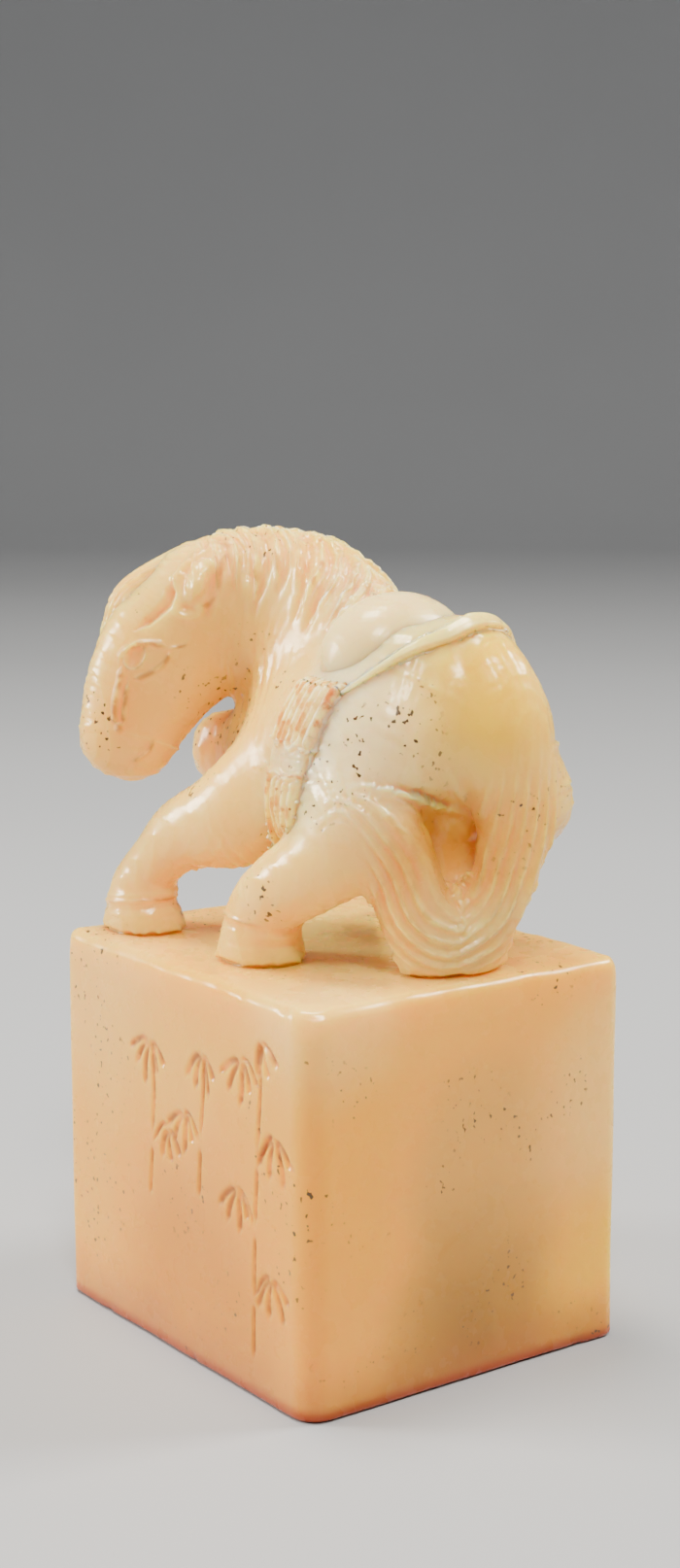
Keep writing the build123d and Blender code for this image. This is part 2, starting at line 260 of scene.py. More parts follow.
# Each form: its fullest size, the direction of its breadth, and its stations from end to end
TRUNK = Limb(
    BARREL, BODY_SIDE,
    (-0.38, -0.10, 0.43, 0.49, 0.52),
    (-0.21, -0.05, 0.45, 0.73, 0.80),
    (0.00, 0.02, 0.46, 0.88, 0.92),
    (0.22, 0.10, 0.48, 0.94, 1.00),
    (0.42, 0.16, 0.51, 1.00, 0.99),
    (0.60, 0.23, 0.53, 0.89, 0.84),
    (0.72, 0.28, 0.54, 0.60, 0.58),
)
NECK = Limb(
    NECK_SIZE, BODY_SIDE,
    (0.27, 0.11, 0.625, 0.92, 0.60),
    (0.02, 0.09, 0.672, 1.00, 0.87),
    (-0.25, 0.03, 0.740, 0.96, 1.01),
    (-0.48, -0.10, 0.77, 0.88, 0.90),
    (-0.65, -0.25, 0.78, 0.75, 0.70),
    end_side=FACE_SIDE,
)
HEAD = Limb(
    HEAD_SIZE, FACE_SIDE,
    (-0.67, -0.345, 0.82, 0.82, 0.78),
    (-0.71, -0.44, 0.74, 1.00, 1.00),
    (-0.735, -0.54, 0.66, 1.00, 1.05),
    (-0.765, -0.635, 0.57, 0.86, 0.96),
    (-0.785, -0.70, 0.495, 0.80, 0.84),
    (-0.785, -0.725, 0.465, 0.77, 0.80),
)
LEFT_EAR = Limb(
    EAR_SIZE, FACE_SIDE,
    (-0.533, -0.515, 0.800, 0.85, 0.62),
    (-0.520, -0.455, 0.855, 1.00, 1.00),
    (-0.515, -0.345, 0.914, 0.75, 0.50),
)
RIGHT_EAR = Limb(
    EAR_SIZE, FACE_SIDE,
    (-0.82, -0.27, 0.79, 0.80, 0.60),
    (-0.77, -0.14, 0.84, 1.00, 1.00),
    (-0.70, -0.04, 0.88, 0.60, 0.45),
)
MANE = Limb(
    MANE_SIZE, BODY_SIDE,
    (0.22, 0.12, 0.665, 0.59, 0.60),
    (0.09, 0.11, 0.735, 0.81, 0.85),
    (-0.08, 0.07, 0.812, 0.96, 1.00),
    (-0.30, 0.01, 0.890, 1.00, 0.93),
    (-0.53, -0.15, 0.908, 0.93, 0.88),
    (-0.71, -0.33, 0.868, 0.85, 0.84),
    end_side=FACE_SIDE,
)
FORELOCK = Limb(
    FORELOCK_SIZE, FACE_SIDE,
    (-0.75, -0.36, 0.87, 0.92, 0.98),
    (-0.865, -0.575, 0.795, 1.00, 1.08),
    (-0.915, -0.67, 0.72, 0.77, 0.72),
)
LEFT_FORELEG = Limb(
    FORELEG_SIZE, NEAR_LEG_SIDE,
    (0.14, -0.20, 0.475, 0.85, 1.20),
    (-0.08, -0.30, 0.38, 1.00, 1.18),
    (-0.26, -0.44, 0.303, 0.95, 0.97),
    (-0.41, -0.52, 0.270, 0.84, 0.80),
    (-0.53, -0.58, 0.240, 0.74, 0.67),
    (-0.64, -0.63, 0.18, 0.68, 0.56),
    (-0.74, -0.67, 0.12, 0.66, 0.54),
    (-0.77, -0.67, 0.06, 0.74, 0.58),
)
RIGHT_FOREARM = Limb(
    FORELEG_SIZE, NEAR_LEG_SIDE,
    (-0.11, 0.25, 0.46, 0.95, 0.92),
    (-0.40, 0.06, 0.44, 0.84, 0.84),
    (-0.74, -0.17, 0.43, 0.58, 0.69),
)
RIGHT_SHANK = Limb(
    SHANK_SIZE, NEAR_LEG_SIDE,
    (-0.73, -0.17, 0.40, 0.95, 1.00),
    (-0.59, -0.06, 0.32, 0.91, 0.88),
    (-0.41, 0.06, 0.28, 1.00, 0.95),
)
RAISED_HOOF = Limb(
    HOOF_SIZE, NEAR_LEG_SIDE,
    (-0.46, 0.02, 0.29, 0.58, 0.56),
    (-0.35, 0.09, 0.26, 0.66, 0.62),
)
LEFT_THIGH = Limb(
    THIGH_SIZE, BODY_SIDE,
    (0.51, 0.01, 0.66, 0.78, 0.77),
    (0.47, -0.16, 0.53, 1.00, 1.00),
    (0.44, -0.28, 0.41, 0.85, 0.94),
    (0.51, -0.34, 0.32, 0.67, 0.71),
)
RIGHT_THIGH = Limb(
    THIGH_SIZE, BODY_SIDE,
    (0.51, 0.36, 0.65, 0.77, 0.77),
    (0.51, 0.48, 0.52, 0.81, 0.94),
    (0.51, 0.57, 0.41, 0.67, 0.77),
    (0.64, 0.58, 0.35, 0.56, 0.57),
)
LEFT_HIND_LEG = Limb(
    HIND_LEG_SIZE, NEAR_LEG_SIDE,
    (0.67, -0.32, 0.33, 0.77, 0.79),
    (0.56, -0.39, 0.29, 0.97, 1.00),
    (0.43, -0.47, 0.24, 1.00, 0.97),
    (0.23, -0.55, 0.17, 1.00, 0.87),
    (0.12, -0.56, 0.11, 0.97, 0.79),
)
RIGHT_HIND_LEG = Limb(
    HIND_LEG_SIZE, FAR_LEG_SIDE,
    (0.86, 0.56, 0.44, 0.65, 0.63),
    (0.81, 0.59, 0.36, 0.84, 0.84),
    (0.48, 0.63, 0.26, 0.87, 0.84),
    (0.11, 0.65, 0.17, 0.84, 0.79),
    (-0.13, 0.65, 0.09, 0.87, 0.74),
)
LEFT_FORE_HOOF = Limb(
    HOOF_SIZE, NEAR_LEG_SIDE,
    (-0.75, -0.67, 0.09, 0.76, 0.68),
    (-0.74, -0.67, 0.045, 0.87, 0.84),
    (-0.73, -0.67, -0.02, 0.97, 0.98),
)
LEFT_HIND_HOOF = Limb(
    HOOF_SIZE, NEAR_LEG_SIDE,
    (0.11, -0.56, 0.13, 0.76, 0.68),
    (0.10, -0.56, 0.055, 0.90, 0.84),
    (0.10, -0.56, -0.02, 1.00, 1.00),
)
RIGHT_HIND_HOOF = Limb(
    HOOF_SIZE, FAR_LEG_SIDE,
    (-0.14, 0.65, 0.11, 0.70, 0.63),
    (-0.16, 0.65, 0.05, 0.80, 0.79),
    (-0.17, 0.65, -0.02, 0.86, 0.93),
)
TAIL = Limb(
    TAIL_SIZE, TAIL_FACES,
    (0.68, 0.28, 0.76, 0.44, 0.60),
    (0.84, 0.30, 0.69, 0.66, 0.72),
    (0.92, 0.32, 0.58, 0.86, 0.77),
    (0.94, 0.32, 0.44, 1.00, 0.79),
    (0.93, 0.30, 0.31, 0.98, 0.83),
    (0.90, 0.25, 0.18, 0.88, 0.90),
    (0.81, 0.08, 0.09, 0.70, 0.92),
    (0.76, -0.11, 0.145, 0.80, 0.92),
    (0.74, -0.22, 0.27, 0.86, 0.88),
    (0.69, -0.33, 0.355, 0.84, 0.80),
    (0.62, -0.42, 0.38, 0.72, 0.70),
    (0.565, -0.48, 0.355, 0.45, 0.45),
    end_side=TAIL_END_FACES,
    faces=True,
)
TAIL_FOOT = Limb(
    TAIL_SIZE, TAIL_FOOT_SIDE,
    (0.82, 0.19, 0.12, 1.05, 0.90),
    (0.80, 0.16, 0.06, 1.18, 0.96),
    (0.77, 0.14, -0.02, 1.26, 1.00),
)
TAIL_PILLAR = Limb(
    TAIL_SIZE, TAIL_FOOT_SIDE,
    (0.67, -0.30, 0.33, 0.66, 0.80),
    (0.71, -0.19, 0.20, 0.76, 0.92),
    (0.74, -0.08, 0.08, 0.86, 1.00),
    (0.75, -0.01, -0.02, 0.98, 1.06),
)
RECESS_WEB = Limb(
    TAIL_SIZE, TAIL_FOOT_SIDE,
    (0.63, 0.18, 0.37, 0.85, 0.85),
    (0.62, 0.17, 0.24, 1.00, 0.90),
    (0.64, 0.12, 0.05, 1.05, 0.95),
)

# What joins the trunk, and how wide the fillet is
JOINED = (
    (NECK, 3.0), (HEAD, 3.4), (LEFT_FORELEG, 2.0), (RIGHT_FOREARM, 1.6), (RIGHT_SHANK, 1.2),
    (LEFT_THIGH, 3.0), (RIGHT_THIGH, 3.0), (LEFT_HIND_LEG, 1.4), (RIGHT_HIND_LEG, 1.2), (RAISED_HOOF, 0.6),
    (LEFT_FORE_HOOF, 0.5), (LEFT_HIND_HOOF, 0.5), (RIGHT_HIND_HOOF, 0.5),
)

# What the girth goes round, besides the trunk
GIRDED = (NECK, LEFT_FORELEG, RIGHT_FOREARM, LEFT_THIGH, RIGHT_THIGH)

# The tail's fillet into the body, which grows across the rump and upwards, and its other fillets
TAIL_FILLET = 0.6
TAIL_FILLET_GROWTH = 2.4
TAIL_SOFTENS_ACROSS = (-4.0, 2.0)
TAIL_SOFTENS_UP = (43.5, 50.0)
TAIL_FOOT_FILLET = 1.6
WEB_FILLET = 0.8
CREST_FILLET = 1.4
EAR_FILLET = 0.35

# How far the horse reaches down into the block
SUNK = 0.4


def above_plate(found, p):
    """A form cut off a little below the block's top, where it grows out of the stone."""
    return np.maximum(found, PLATE - SUNK - p[:, 2])


def trunk_with(joined, p):
    """The trunk and what joins it."""
    found = TRUNK(p)
    for limb, fillet in joined:
        found = join(found, limb(p), fillet)
    return found


def figure(p):
    """The bare horse."""
    return above_plate(trunk_with(JOINED, p), p)


def torso(p):
    """The body without its legs' lower parts, which the girth goes round."""
    return trunk_with([pair for pair in JOINED if pair[0] in GIRDED], p)


# Hair: each lock starts at the crest and sweeps back as it goes down the neck
LOCK_SPACING = 1.9
LOCK_SWEEP = 4.6
MANE_LIFT = 0.5
MANE_DIP = 0.85
SCALLOP_LENGTH = 4.0
CREST_RISE = 0.60
CREST_MIDDLE = 0.45

# Degrees round from the crest: where the locks end, and over how many they fade into the neck
LOCKS_END = 76
LOCKS_FADE = 34


def mane_place(p):
    """Where along the neck each point's lock starts, and where the point itself is.

    That is how far round from the crest, in degrees, how far along the neck and how far past its end.
    """
    along, across, deep, over, radii = NECK.coords(p)
    round_by = np.arctan2(across / radii[:, 0], deep / radii[:, 1])
    start = along + over + LOCK_SWEEP * (1 - (1 - np.clip(np.abs(round_by) / (pi / 2), 0, 1)) ** 2.4)
    return start, np.abs(np.degrees(round_by)), along + np.minimum(over, 0), np.maximum(over, 0)


def scallop(start):
    """The crest's outline, which rises over each big lock and dips between two, from 0 to 1."""
    return np.abs(np.sin(start * pi / SCALLOP_LENGTH)) ** 0.8


def mane_lift(p, start, round_by, along, beyond):
    """How far the locks stand off the neck, fading into it down both sides and dipping between locks."""
    ends = LOCKS_END + 8 * np.sin(start * 1.1) + 6 * np.sin(start * 2.7 + 1) + 10 * ramp(along, 12, 18)
    fade = (1 - ramp(round_by, ends - LOCKS_FADE, ends)) * ramp(along, 0.6, 2.4) * ramp(beyond, 1.8, 0.4)
    dips = 1 - MANE_DIP * (1 - scallop(start)) * ramp(round_by, 55, 25)
    return MANE_LIFT * fade * dips * ramp(NECK(p), 2.6, 1.2)


def crest(p, start):
    """The mane's crest, whose outline rises and dips."""
    return MANE(p) + CREST_RISE * (CREST_MIDDLE - scallop(start))


def tail_form(p):
    """The tail by itself, which widens to the plate under its turn."""
    return join(join(TAIL(p), TAIL_FOOT(p), TAIL_FOOT_FILLET), TAIL_PILLAR(p), TAIL_FOOT_FILLET)


def hide(p):
    """The horse with its tail, blended into the rump and haunch, and the stone left in the tail's turn."""
    softness = np.maximum(ramp(p[:, 1], *TAIL_SOFTENS_ACROSS), ramp(p[:, 2], *TAIL_SOFTENS_UP))
    tail = join(tail_form(p), RECESS_WEB(p), WEB_FILLET)
    return above_plate(join(tail, figure(p), TAIL_FILLET + TAIL_FILLET_GROWTH * softness), p)


def horse(p):
    """The horse with its tail and mane."""
    found = hide(p)
    near = NECK(p) < 6
    q = p[near]
    start, round_by, along, beyond = mane_place(q)
    lifted = found[near] - mane_lift(q, start, round_by, along, beyond)
    found[near] = join(lifted, crest(q, start), CREST_FILLET)
    for ear in (LEFT_EAR, RIGHT_EAR):
        found = join(found, ear(p), EAR_FILLET)
    return found


# The cloth's border lies along a sloped plane and swings back on both sides of its middle
CLOTH_SLOPE = 1.1
CLOTH_REST = (0.0, 62.9)
CLOTH_LEAN = 9.55
CLOTH_SWING = 0.13
CLOTH_MIDDLE = 3.5
CLOTH_HALF_WIDTH = 1.25
CLOTH_TAPER = 0.08
CLOTH_FOOT = 56.8
CLOTH_THICKNESS = 0.36
CLOTH_LEAST_HALF = 0.5
SEAT_EDGE_FILLET = 0.9

# The girth hangs on another sloped plane, with a knot part of the way down
GIRTH_SLOPE = 0.22
GIRTH_REST = (5.5, 52.0)
GIRTH_HALF_WIDTH = 3.1
GIRTH_THICKNESS = 0.42
GIRTH_HEAD = 57.4
GIRTH_LEAVES_LEG = (45.5, 47.5)
KNOT_HEIGHT = 51.6
KNOT_REACH = 1.5
KNOT_PROUD = 0.16
KNOT_WIDER = 0.1


def cloth_offset(p):
    """How far behind the middle of the cloth's border a point is, and the border's half width there."""
    lean = (p[:, 0] - CLOTH_REST[0] - CLOTH_SLOPE * (p[:, 2] - CLOTH_REST[1])) / (1 + CLOTH_SLOPE**2) ** 0.5
    out = np.abs(p[:, 1] - CLOTH_MIDDLE)
    half = np.maximum(CLOTH_HALF_WIDTH - CLOTH_TAPER * out, CLOTH_LEAST_HALF)
    return lean - CLOTH_LEAN - CLOTH_SWING * out, half


def seat(p):
    """The saddle's seat, cut off along the upper edge of the cloth's border."""
    offset, half = cloth_offset(p)
    return carve(pillow(p, place(*SEAT_SHARES), SEAT_RADII, SEAT_YAW), -(offset + half), SEAT_EDGE_FILLET)


def girth_lean(p):
    """Distance back across the girth."""
    return p[:, 0] - GIRTH_REST[0] - GIRTH_SLOPE * (p[:, 2] - GIRTH_REST[1])


def cloth(p):
    """The raised border of the saddle cloth, behind the seat."""
    offset, half = cloth_offset(p)
    return np.maximum(np.maximum(hide(p) - CLOTH_THICKNESS, np.abs(offset) - half), CLOTH_FOOT - p[:, 2])


def girth(p):
    """The girth, from the cloth down behind the near foreleg and under the belly."""
    share = ramp(p[:, 2], *GIRTH_LEAVES_LEG)
    bare = torso(p) * (1 - share) + hide(p) * share
    knot = valley(p[:, 2] - KNOT_HEIGHT, KNOT_REACH)
    proud = bare - GIRTH_THICKNESS - KNOT_PROUD * knot
    wide = np.abs(girth_lean(p)) - GIRTH_HALF_WIDTH - KNOT_WIDER * knot
    return np.maximum(np.maximum(proud, wide), p[:, 2] - GIRTH_HEAD)


# Fine cells along each rough one, how many rough cells off still counts as near, and the value further off
FINE_IN_ROUGH = 4
NEAR_CELLS = 1.6
FAR_VALUE = 2.0


def grid_values(field, low, high, step):
    """The field on a grid: true near the skin, and only its sign elsewhere."""
    ratio = FINE_IN_ROUGH
    rough_count = np.ceil((high - low) / (step * ratio)).astype(int) + 1
    axes = [low[i] + step * ratio * np.arange(rough_count[i]) for i in range(3)]
    corners = np.stack(np.meshgrid(*axes, indexing="ij"), -1)
    rough = field(corners.reshape(-1, 3)).reshape(rough_count)
    count = (rough_count - 1) * ratio + 1
    close = np.abs(rough) < step * ratio * NEAR_CELLS
    cell = np.zeros(rough_count - 1, bool)
    for i in (0, 1):
        for j in (0, 1):
            for k in (0, 1):
                cell |= close[i:rough_count[0] - 1 + i, j:rough_count[1] - 1 + j, k:rough_count[2] - 1 + k]
    whole = [np.minimum(np.arange(count[i]) // ratio, rough_count[i] - 2) for i in range(3)]
    near = cell[np.ix_(*whole)]
    half = ratio // 2
    rounded = [np.minimum((np.arange(count[i]) + half) // ratio, rough_count[i] - 1) for i in range(3)]
    values = np.where(rough[np.ix_(*rounded)] < 0, -FAR_VALUE, FAR_VALUE).astype(np.float32)
    points = low + step * np.argwhere(near)
    values[near] = field(points)
    return values


def mesh_piece(name, points, faces):
    """A smooth-shaded object from points in millimetres and lists of their numbers."""
    mesh = bpy.data.meshes.new(name)
    mesh.from_pydata((np.asarray(points) * MM).tolist(), [], faces)
    mesh.polygons.foreach_set("use_smooth", np.ones(len(mesh.polygons), bool))
    piece = bpy.data.objects.new(name, mesh)
    bpy.context.scene.collection.objects.link(piece)
    return piece


def points_of(piece):
    """The piece's points, in millimetres."""
    co = np.zeros(len(piece.data.vertices) * 3, np.float32)
    piece.data.vertices.foreach_get("co", co)
    return co.reshape(-1, 3).astype(float) / MM


def move_points(piece, points):
    """Puts the piece's points there, in millimetres."""
    piece.data.vertices.foreach_set("co", (points * MM).astype(np.float32).ravel())
    piece.data.update()


def normals_of(piece):
    """The normal at each point."""
    normals = np.zeros(len(piece.data.vertices) * 3, np.float32)
    piece.data.vertex_normals.foreach_get("vector", normals)
    return normals.reshape(-1, 3).astype(float)


def divide(piece, inside=None):
    """Divides every face in four, or only the edges whose ends are inside."""
    if inside is None:
        piece.modifiers.new("divide", "SUBSURF").levels = 1
        shape = piece.evaluated_get(bpy.context.evaluated_depsgraph_get())
        mesh = bpy.data.meshes.new_from_object(shape)
        piece.modifiers.clear()
        piece.data = mesh
        return
    chosen = inside(points_of(piece))
    work = bmesh.new()
    work.from_mesh(piece.data)
    edges = [e for e in work.edges if chosen[e.verts[0].index] and chosen[e.verts[1].index]]
    bmesh.ops.subdivide_edges(work, edges=edges, cuts=1, use_grid_fill=True)
    work.to_mesh(piece.data)
    work.free()
    piece.data.polygons.foreach_set("use_smooth", np.ones(len(piece.data.polygons), bool))


def note_residue(piece, residue):
    """Keeps each point's share of red residue for the material to read."""
    stain = piece.data.attributes.new("residue", "FLOAT", "POINT")
    stain.data.foreach_set("value", np.clip(residue, 0, 1).astype(np.float32))


# How far a point is drawn towards the skin at a time
DRAWN_AT_MOST = 0.3


def work_surface(piece, field, relief):
    """Draws the piece's points onto the field's skin, raises and cuts its relief, and notes the residue."""
    for _ in range(2):
        points = points_of(piece)
        off = np.clip(field(points), -DRAWN_AT_MOST, DRAWN_AT_MOST)
        move_points(piece, points - normals_of(piece) * off[:, None])
    points = points_of(piece)
    height, residue = relief(points)
    move_points(piece, points + normals_of(piece) * height[:, None])
    note_residue(piece, residue)


def sculpt(name, field, room, step, relief, finer=None):
    """A closed mesh of the field's skin with its relief, divided once, and again where it is finer."""
    low, high = np.asarray(room, float)
    values = grid_values(field, low, high, step)
    grid = openvdb.FloatGrid(3.0)
    grid.copyFromArray(np.ascontiguousarray(values))
    points, faces = grid.convertToQuads(0.0)
    piece = mesh_piece(name, np.asarray(points) * step + low, faces[:, ::-1].tolist())
    divide(piece)
    if finer:
        divide(piece, finer)
    work_surface(piece, field, relief)
    return piece


# Steps between two points of a carved line
LINE_STEPS = 6


def cut_lines(spots, strokes):
    """The height that carved lines give each spot of a flat map, and how far into a line it is, 0 to 1.

    Each stroke is its points, its width and its depth, which is less than nothing for a raised line.
    """
    height = np.zeros(len(spots))
    inside = np.zeros(len(spots))
    for points, width, depth in strokes:
        path = smooth_path(points, LINE_STEPS)
        close = (spots > path.min(0) - width).all(1) & (spots < path.max(0) + width).all(1)
        if not close.any():
            continue
        q = spots[close]
        start, step = path[:-1], np.diff(path, axis=0)
        rel = q[:, None] - start[None]
        share = np.clip((rel * step).sum(2) / (step**2).sum(1), 0, 1)
        gap = np.linalg.norm(rel - share[..., None] * step, axis=2)
        nearest = gap.argmin(1)
        rows = np.arange(len(q))
        along = (nearest + share[rows, nearest]) / len(step)
        taper = np.clip(6 * np.minimum(along, 1 - along), 0.25, 1)
        shape = valley(gap[rows, nearest], width * taper) * taper
        height[close] -= depth * shape
        inside[close] = np.maximum(inside[close], shape * (depth > 0))
    return height, inside


# The face, on a map of length from the poll down and of depth to the front, each side alike
BROW = ((0.4, 2.4), (1.4, 2.0), (2.4, 1.9), (4.2, 2.4), (5.8, 3.1))
LID = ((8.9, 2.85), (8.1, 3.1), (7.4, 3.0), (6.7, 2.4), (6.2, 1.55), (5.9, 0.6), (5.8, -0.2))
UNDER_EYE = ((5.9, -0.35), (6.6, -0.5), (7.6, -0.15), (8.6, 0.6), (9.4, 1.45))
EYE_MIDDLE = (7.55, 2.0)
EYE_RADII = (0.95, 0.72)
NOSE_GROOVE = ((8.5, 2.75), (9.8, 2.25), (11.4, 1.95), (12.8, 1.5), (13.6, 1.1))
CHEEK_GROOVE = ((9.4, 1.65), (10.8, 1.25), (12.2, 0.85), (13.2, 0.55))
NOSTRIL = ((13.0, 0.9), (13.7, 0.8), (14.3, 0.6))
MOUTH = ((16.4, -0.9), (15.6, -1.7), (14.8, -2.2), (14.0, -2.4))
JAW_LINE = ((3.4, -1.0), (4.6, -1.4), (5.4, -0.8), (5.9, 0.0))
FACE_STROKES = (
    (BROW, 0.60, -0.60),
    (LID, 0.38, 0.32),
    (UNDER_EYE, 0.38, 0.26),
    (NOSE_GROOVE, 0.46, 0.36),
    (CHEEK_GROOVE, 0.36, 0.26),
    (NOSTRIL, 0.50, 0.42),
    (MOUTH, 0.26, 0.28),
    (JAW_LINE, 0.24, 0.10),
)
EYE_BULGE = 0.32
EYE_RIM = (1.12, 0.26)
EYE_RIM_DEPTH = 0.22
EAR_HOLLOW = ((0.6, 0.1), (2.0, 0.1), (3.4, 0.0), (4.4, 0.0))
EAR_STROKE = (EAR_HOLLOW, 1.15, 0.55)


def face_relief(p):
    """Eyes, brows, nostrils, mouth and ears."""
    along, across, deep, over, _ = HEAD.coords(p)
    spots = np.c_[along + np.maximum(over, 0), deep]
    beside = ramp(np.abs(across), 1.0, 2.0) * ramp(HEAD(p), 1.3, 0.5) * ramp(deep, -3.0, -2.3)
    height, inside = cut_lines(spots, FACE_STROKES)
    from_eye = np.linalg.norm((spots - EYE_MIDDLE) / EYE_RADII, axis=1)
    height += EYE_BULGE * np.clip(1 - from_eye**2, 0, 1) ** 0.7
    rim = valley(from_eye - EYE_RIM[0], EYE_RIM[1])
    height -= EYE_RIM_DEPTH * rim
    inside = np.maximum(inside, rim * 0.8)
    height *= beside
    inside *= beside
    for ear in (LEFT_EAR, RIGHT_EAR):
        along, across, deep, _, _ = ear.coords(p)
        on_ear = ramp(ear(p), 0.7, 0.2) * ramp(across, 0.0, 0.5)
        hollow, _ = cut_lines(np.c_[along, deep], (EAR_STROKE,))
        height += hollow * on_ear
        around = ramp(np.abs(ear(p) - 0.35), 0.4, 0.0) * ramp(ear(p), 0.1, 0.3)
        inside = np.maximum(inside, 0.5 * around * (along > 0.3))
    return height, inside


# Each hoof, and how far down it the band round its top is
HOOVES = (
    (LEFT_FORE_HOOF, 0.55), (LEFT_HIND_HOOF, 0.75), (RIGHT_HIND_HOOF, 0.6), (RAISED_HOOF, 0.9),
)
HOOF_BAND_DEPTH = 0.16
HOOF_RIDGE = 0.08
HORN_RING = 0.015
HORN_RING_GAP = 0.85


def hoof_relief(p):
    """The band round the top of each hoof, and the faint rings of its horn."""
    height = np.zeros(len(p))
    inside = np.zeros(len(p))
    for hoof, crown in HOOVES:
        on_hoof = ramp(hoof(p), 0.6, 0.25)
        along, _, _, over, _ = hoof.coords(p)
        down = along + over
        band = valley(down - crown, 0.30)
        ridge = valley(down - crown - 0.62, 0.45)
        rings = HORN_RING * np.sin(down * 2 * pi / HORN_RING_GAP) * ramp(down, crown + 1.0, crown + 1.6)
        height += on_hoof * (rings + HOOF_RIDGE * ridge - HOOF_BAND_DEPTH * band)
        inside = np.maximum(inside, 0.7 * band * on_hoof)
    return height, inside


def horse_relief(p):
    """Everything carved into the horse, and the slight waves that hand polishing leaves."""
    parts = (face_relief(p), hoof_relief(p), mane_relief(p), tail_relief(p))
    waves = 0.05 * ripple(p, 6.5, 3) + 0.02 * ripple(p, 2.4, 4)
    return waves + sum(height for height, _ in parts), np.maximum.reduce([inside for _, inside in parts])


# Grooves of the hair and the cords: how far apart, how wide and how deep
LOCK_GROOVE = (LOCK_SPACING, 0.36, 0.44)
LOCK_FINE_GROOVE = (LOCK_SPACING / 2, 0.24, 0.24)
LOCK_FINEST_GROOVE = (LOCK_SPACING / 4, 0.17, 0.10)
FORELOCK_GROOVE = (1.05, 0.34, 0.22)
FORELOCK_FINE_GROOVE = (0.52, 0.2, 0.08)
TAIL_GROOVE = (1.05, 0.30, 0.34)
TAIL_FINE_GROOVE = (0.52, 0.18, 0.16)
CORD_GROOVE = (0.85, 0.34, 0.50)
CORD_FINE_GROOVE = (0.42, 0.18, 0.16)
CORD_BROAD_GROOVE = (1.15, 0.38, 0.42)
LOCK_BULGE = 0.16
TAIL_BULGE = 0.07


def strands(number, spacing, width, depth):
    """Parallel grooves, one at each whole number."""
    gap = np.abs(number - np.round(number)) * spacing
    return valley(gap, width) * depth


def mane_relief(p):
    """Rounded locks, and the finer strands within each, which fade out down the neck."""
    start, round_by, along, beyond = mane_place(p)
    lock = start / LOCK_SPACING + 0.12 * ripple(p, 6.0, 11)
    lifted = mane_lift(p, start, round_by, along, beyond) / MANE_LIFT
    fading = np.maximum(lifted, ramp(crest(p, start), 0.5, 0.1)) * ramp(round_by, 0, 10)
    bulge = LOCK_BULGE * np.cos(lock * 2 * pi + pi)
    deep_cut = strands(lock, *LOCK_GROOVE)
    fine = strands(lock * 2 + 0.5 + 0.3 * ripple(p, 4.0, 12), *LOCK_FINE_GROOVE)
    fine *= 0.35 + 0.65 * ramp(along, 13, 6)
    fine += strands(lock * 4 + 0.4 * ripple(p, 3.0, 14), *LOCK_FINEST_GROOVE) * ramp(along, 14, 8)
    cut = (deep_cut + fine) * fading
    return bulge * fading - cut, np.clip(cut * 2.2, 0, 1)


def forelock_relief(p):
    """The strands of the forelock."""
    along, across, deep, _, _ = FORELOCK.coords(p)
    number = across / FORELOCK_GROOVE[0] + 0.12 * along + 0.1 * ripple(p, 4.0, 13)
    front = ramp(deep, -0.2, 0.6)
    cut = (strands(number, *FORELOCK_GROOVE) + strands(number * 2 + 0.3, *FORELOCK_FINE_GROOVE)) * front
    return -cut, np.clip(cut * 2.6, 0, 1)


def tail_relief(p):
    """Long strands that follow the tail round its turn."""
    along, across, _, _, _ = TAIL.coords(p)
    number = (across + 0.45 * ripple(p, 10.0, 21)) / TAIL_GROOVE[0]
    on_tail = ramp(tail_form(p), 0.7, 0.1) * ramp(p[:, 2], PLATE + 0.3, PLATE + 1.8)
    fade = (0.15 + 0.85 * ramp(along, 10, 22)) * on_tail
    strong = np.clip(0.8 + 0.9 * ripple(p, 6.0, 22), 0.2, 1)
    cut = strands(number, *TAIL_GROOVE) * strong
    cut += strands(number * 2 + 0.4 + 0.3 * ripple(p, 5, 23), *TAIL_FINE_GROOVE) * (1.2 - strong)
    bulge = TAIL_BULGE * np.cos(number * 2 * pi + pi) * fade
    cut *= fade
    return bulge - cut, np.clip(cut * 1.8, 0, 1)


def seat_relief(p):
    """A smooth seat, only a little uneven."""
    return 0.03 * ripple(p, 4.5, 31), np.zeros(len(p))


def cloth_relief(p):
    """The border's two raised edges, with a shallow channel between them."""
    offset, half = cloth_offset(p)
    from_edge = half - np.abs(offset)
    edge = valley(from_edge - 0.18, 0.24)
    channel = ramp(from_edge, 0.3, 0.6)
    return 0.16 * edge - 0.20 * channel + 0.02 * ripple(p, 3, 32), 0.35 * valley(from_edge - 0.48, 0.16)


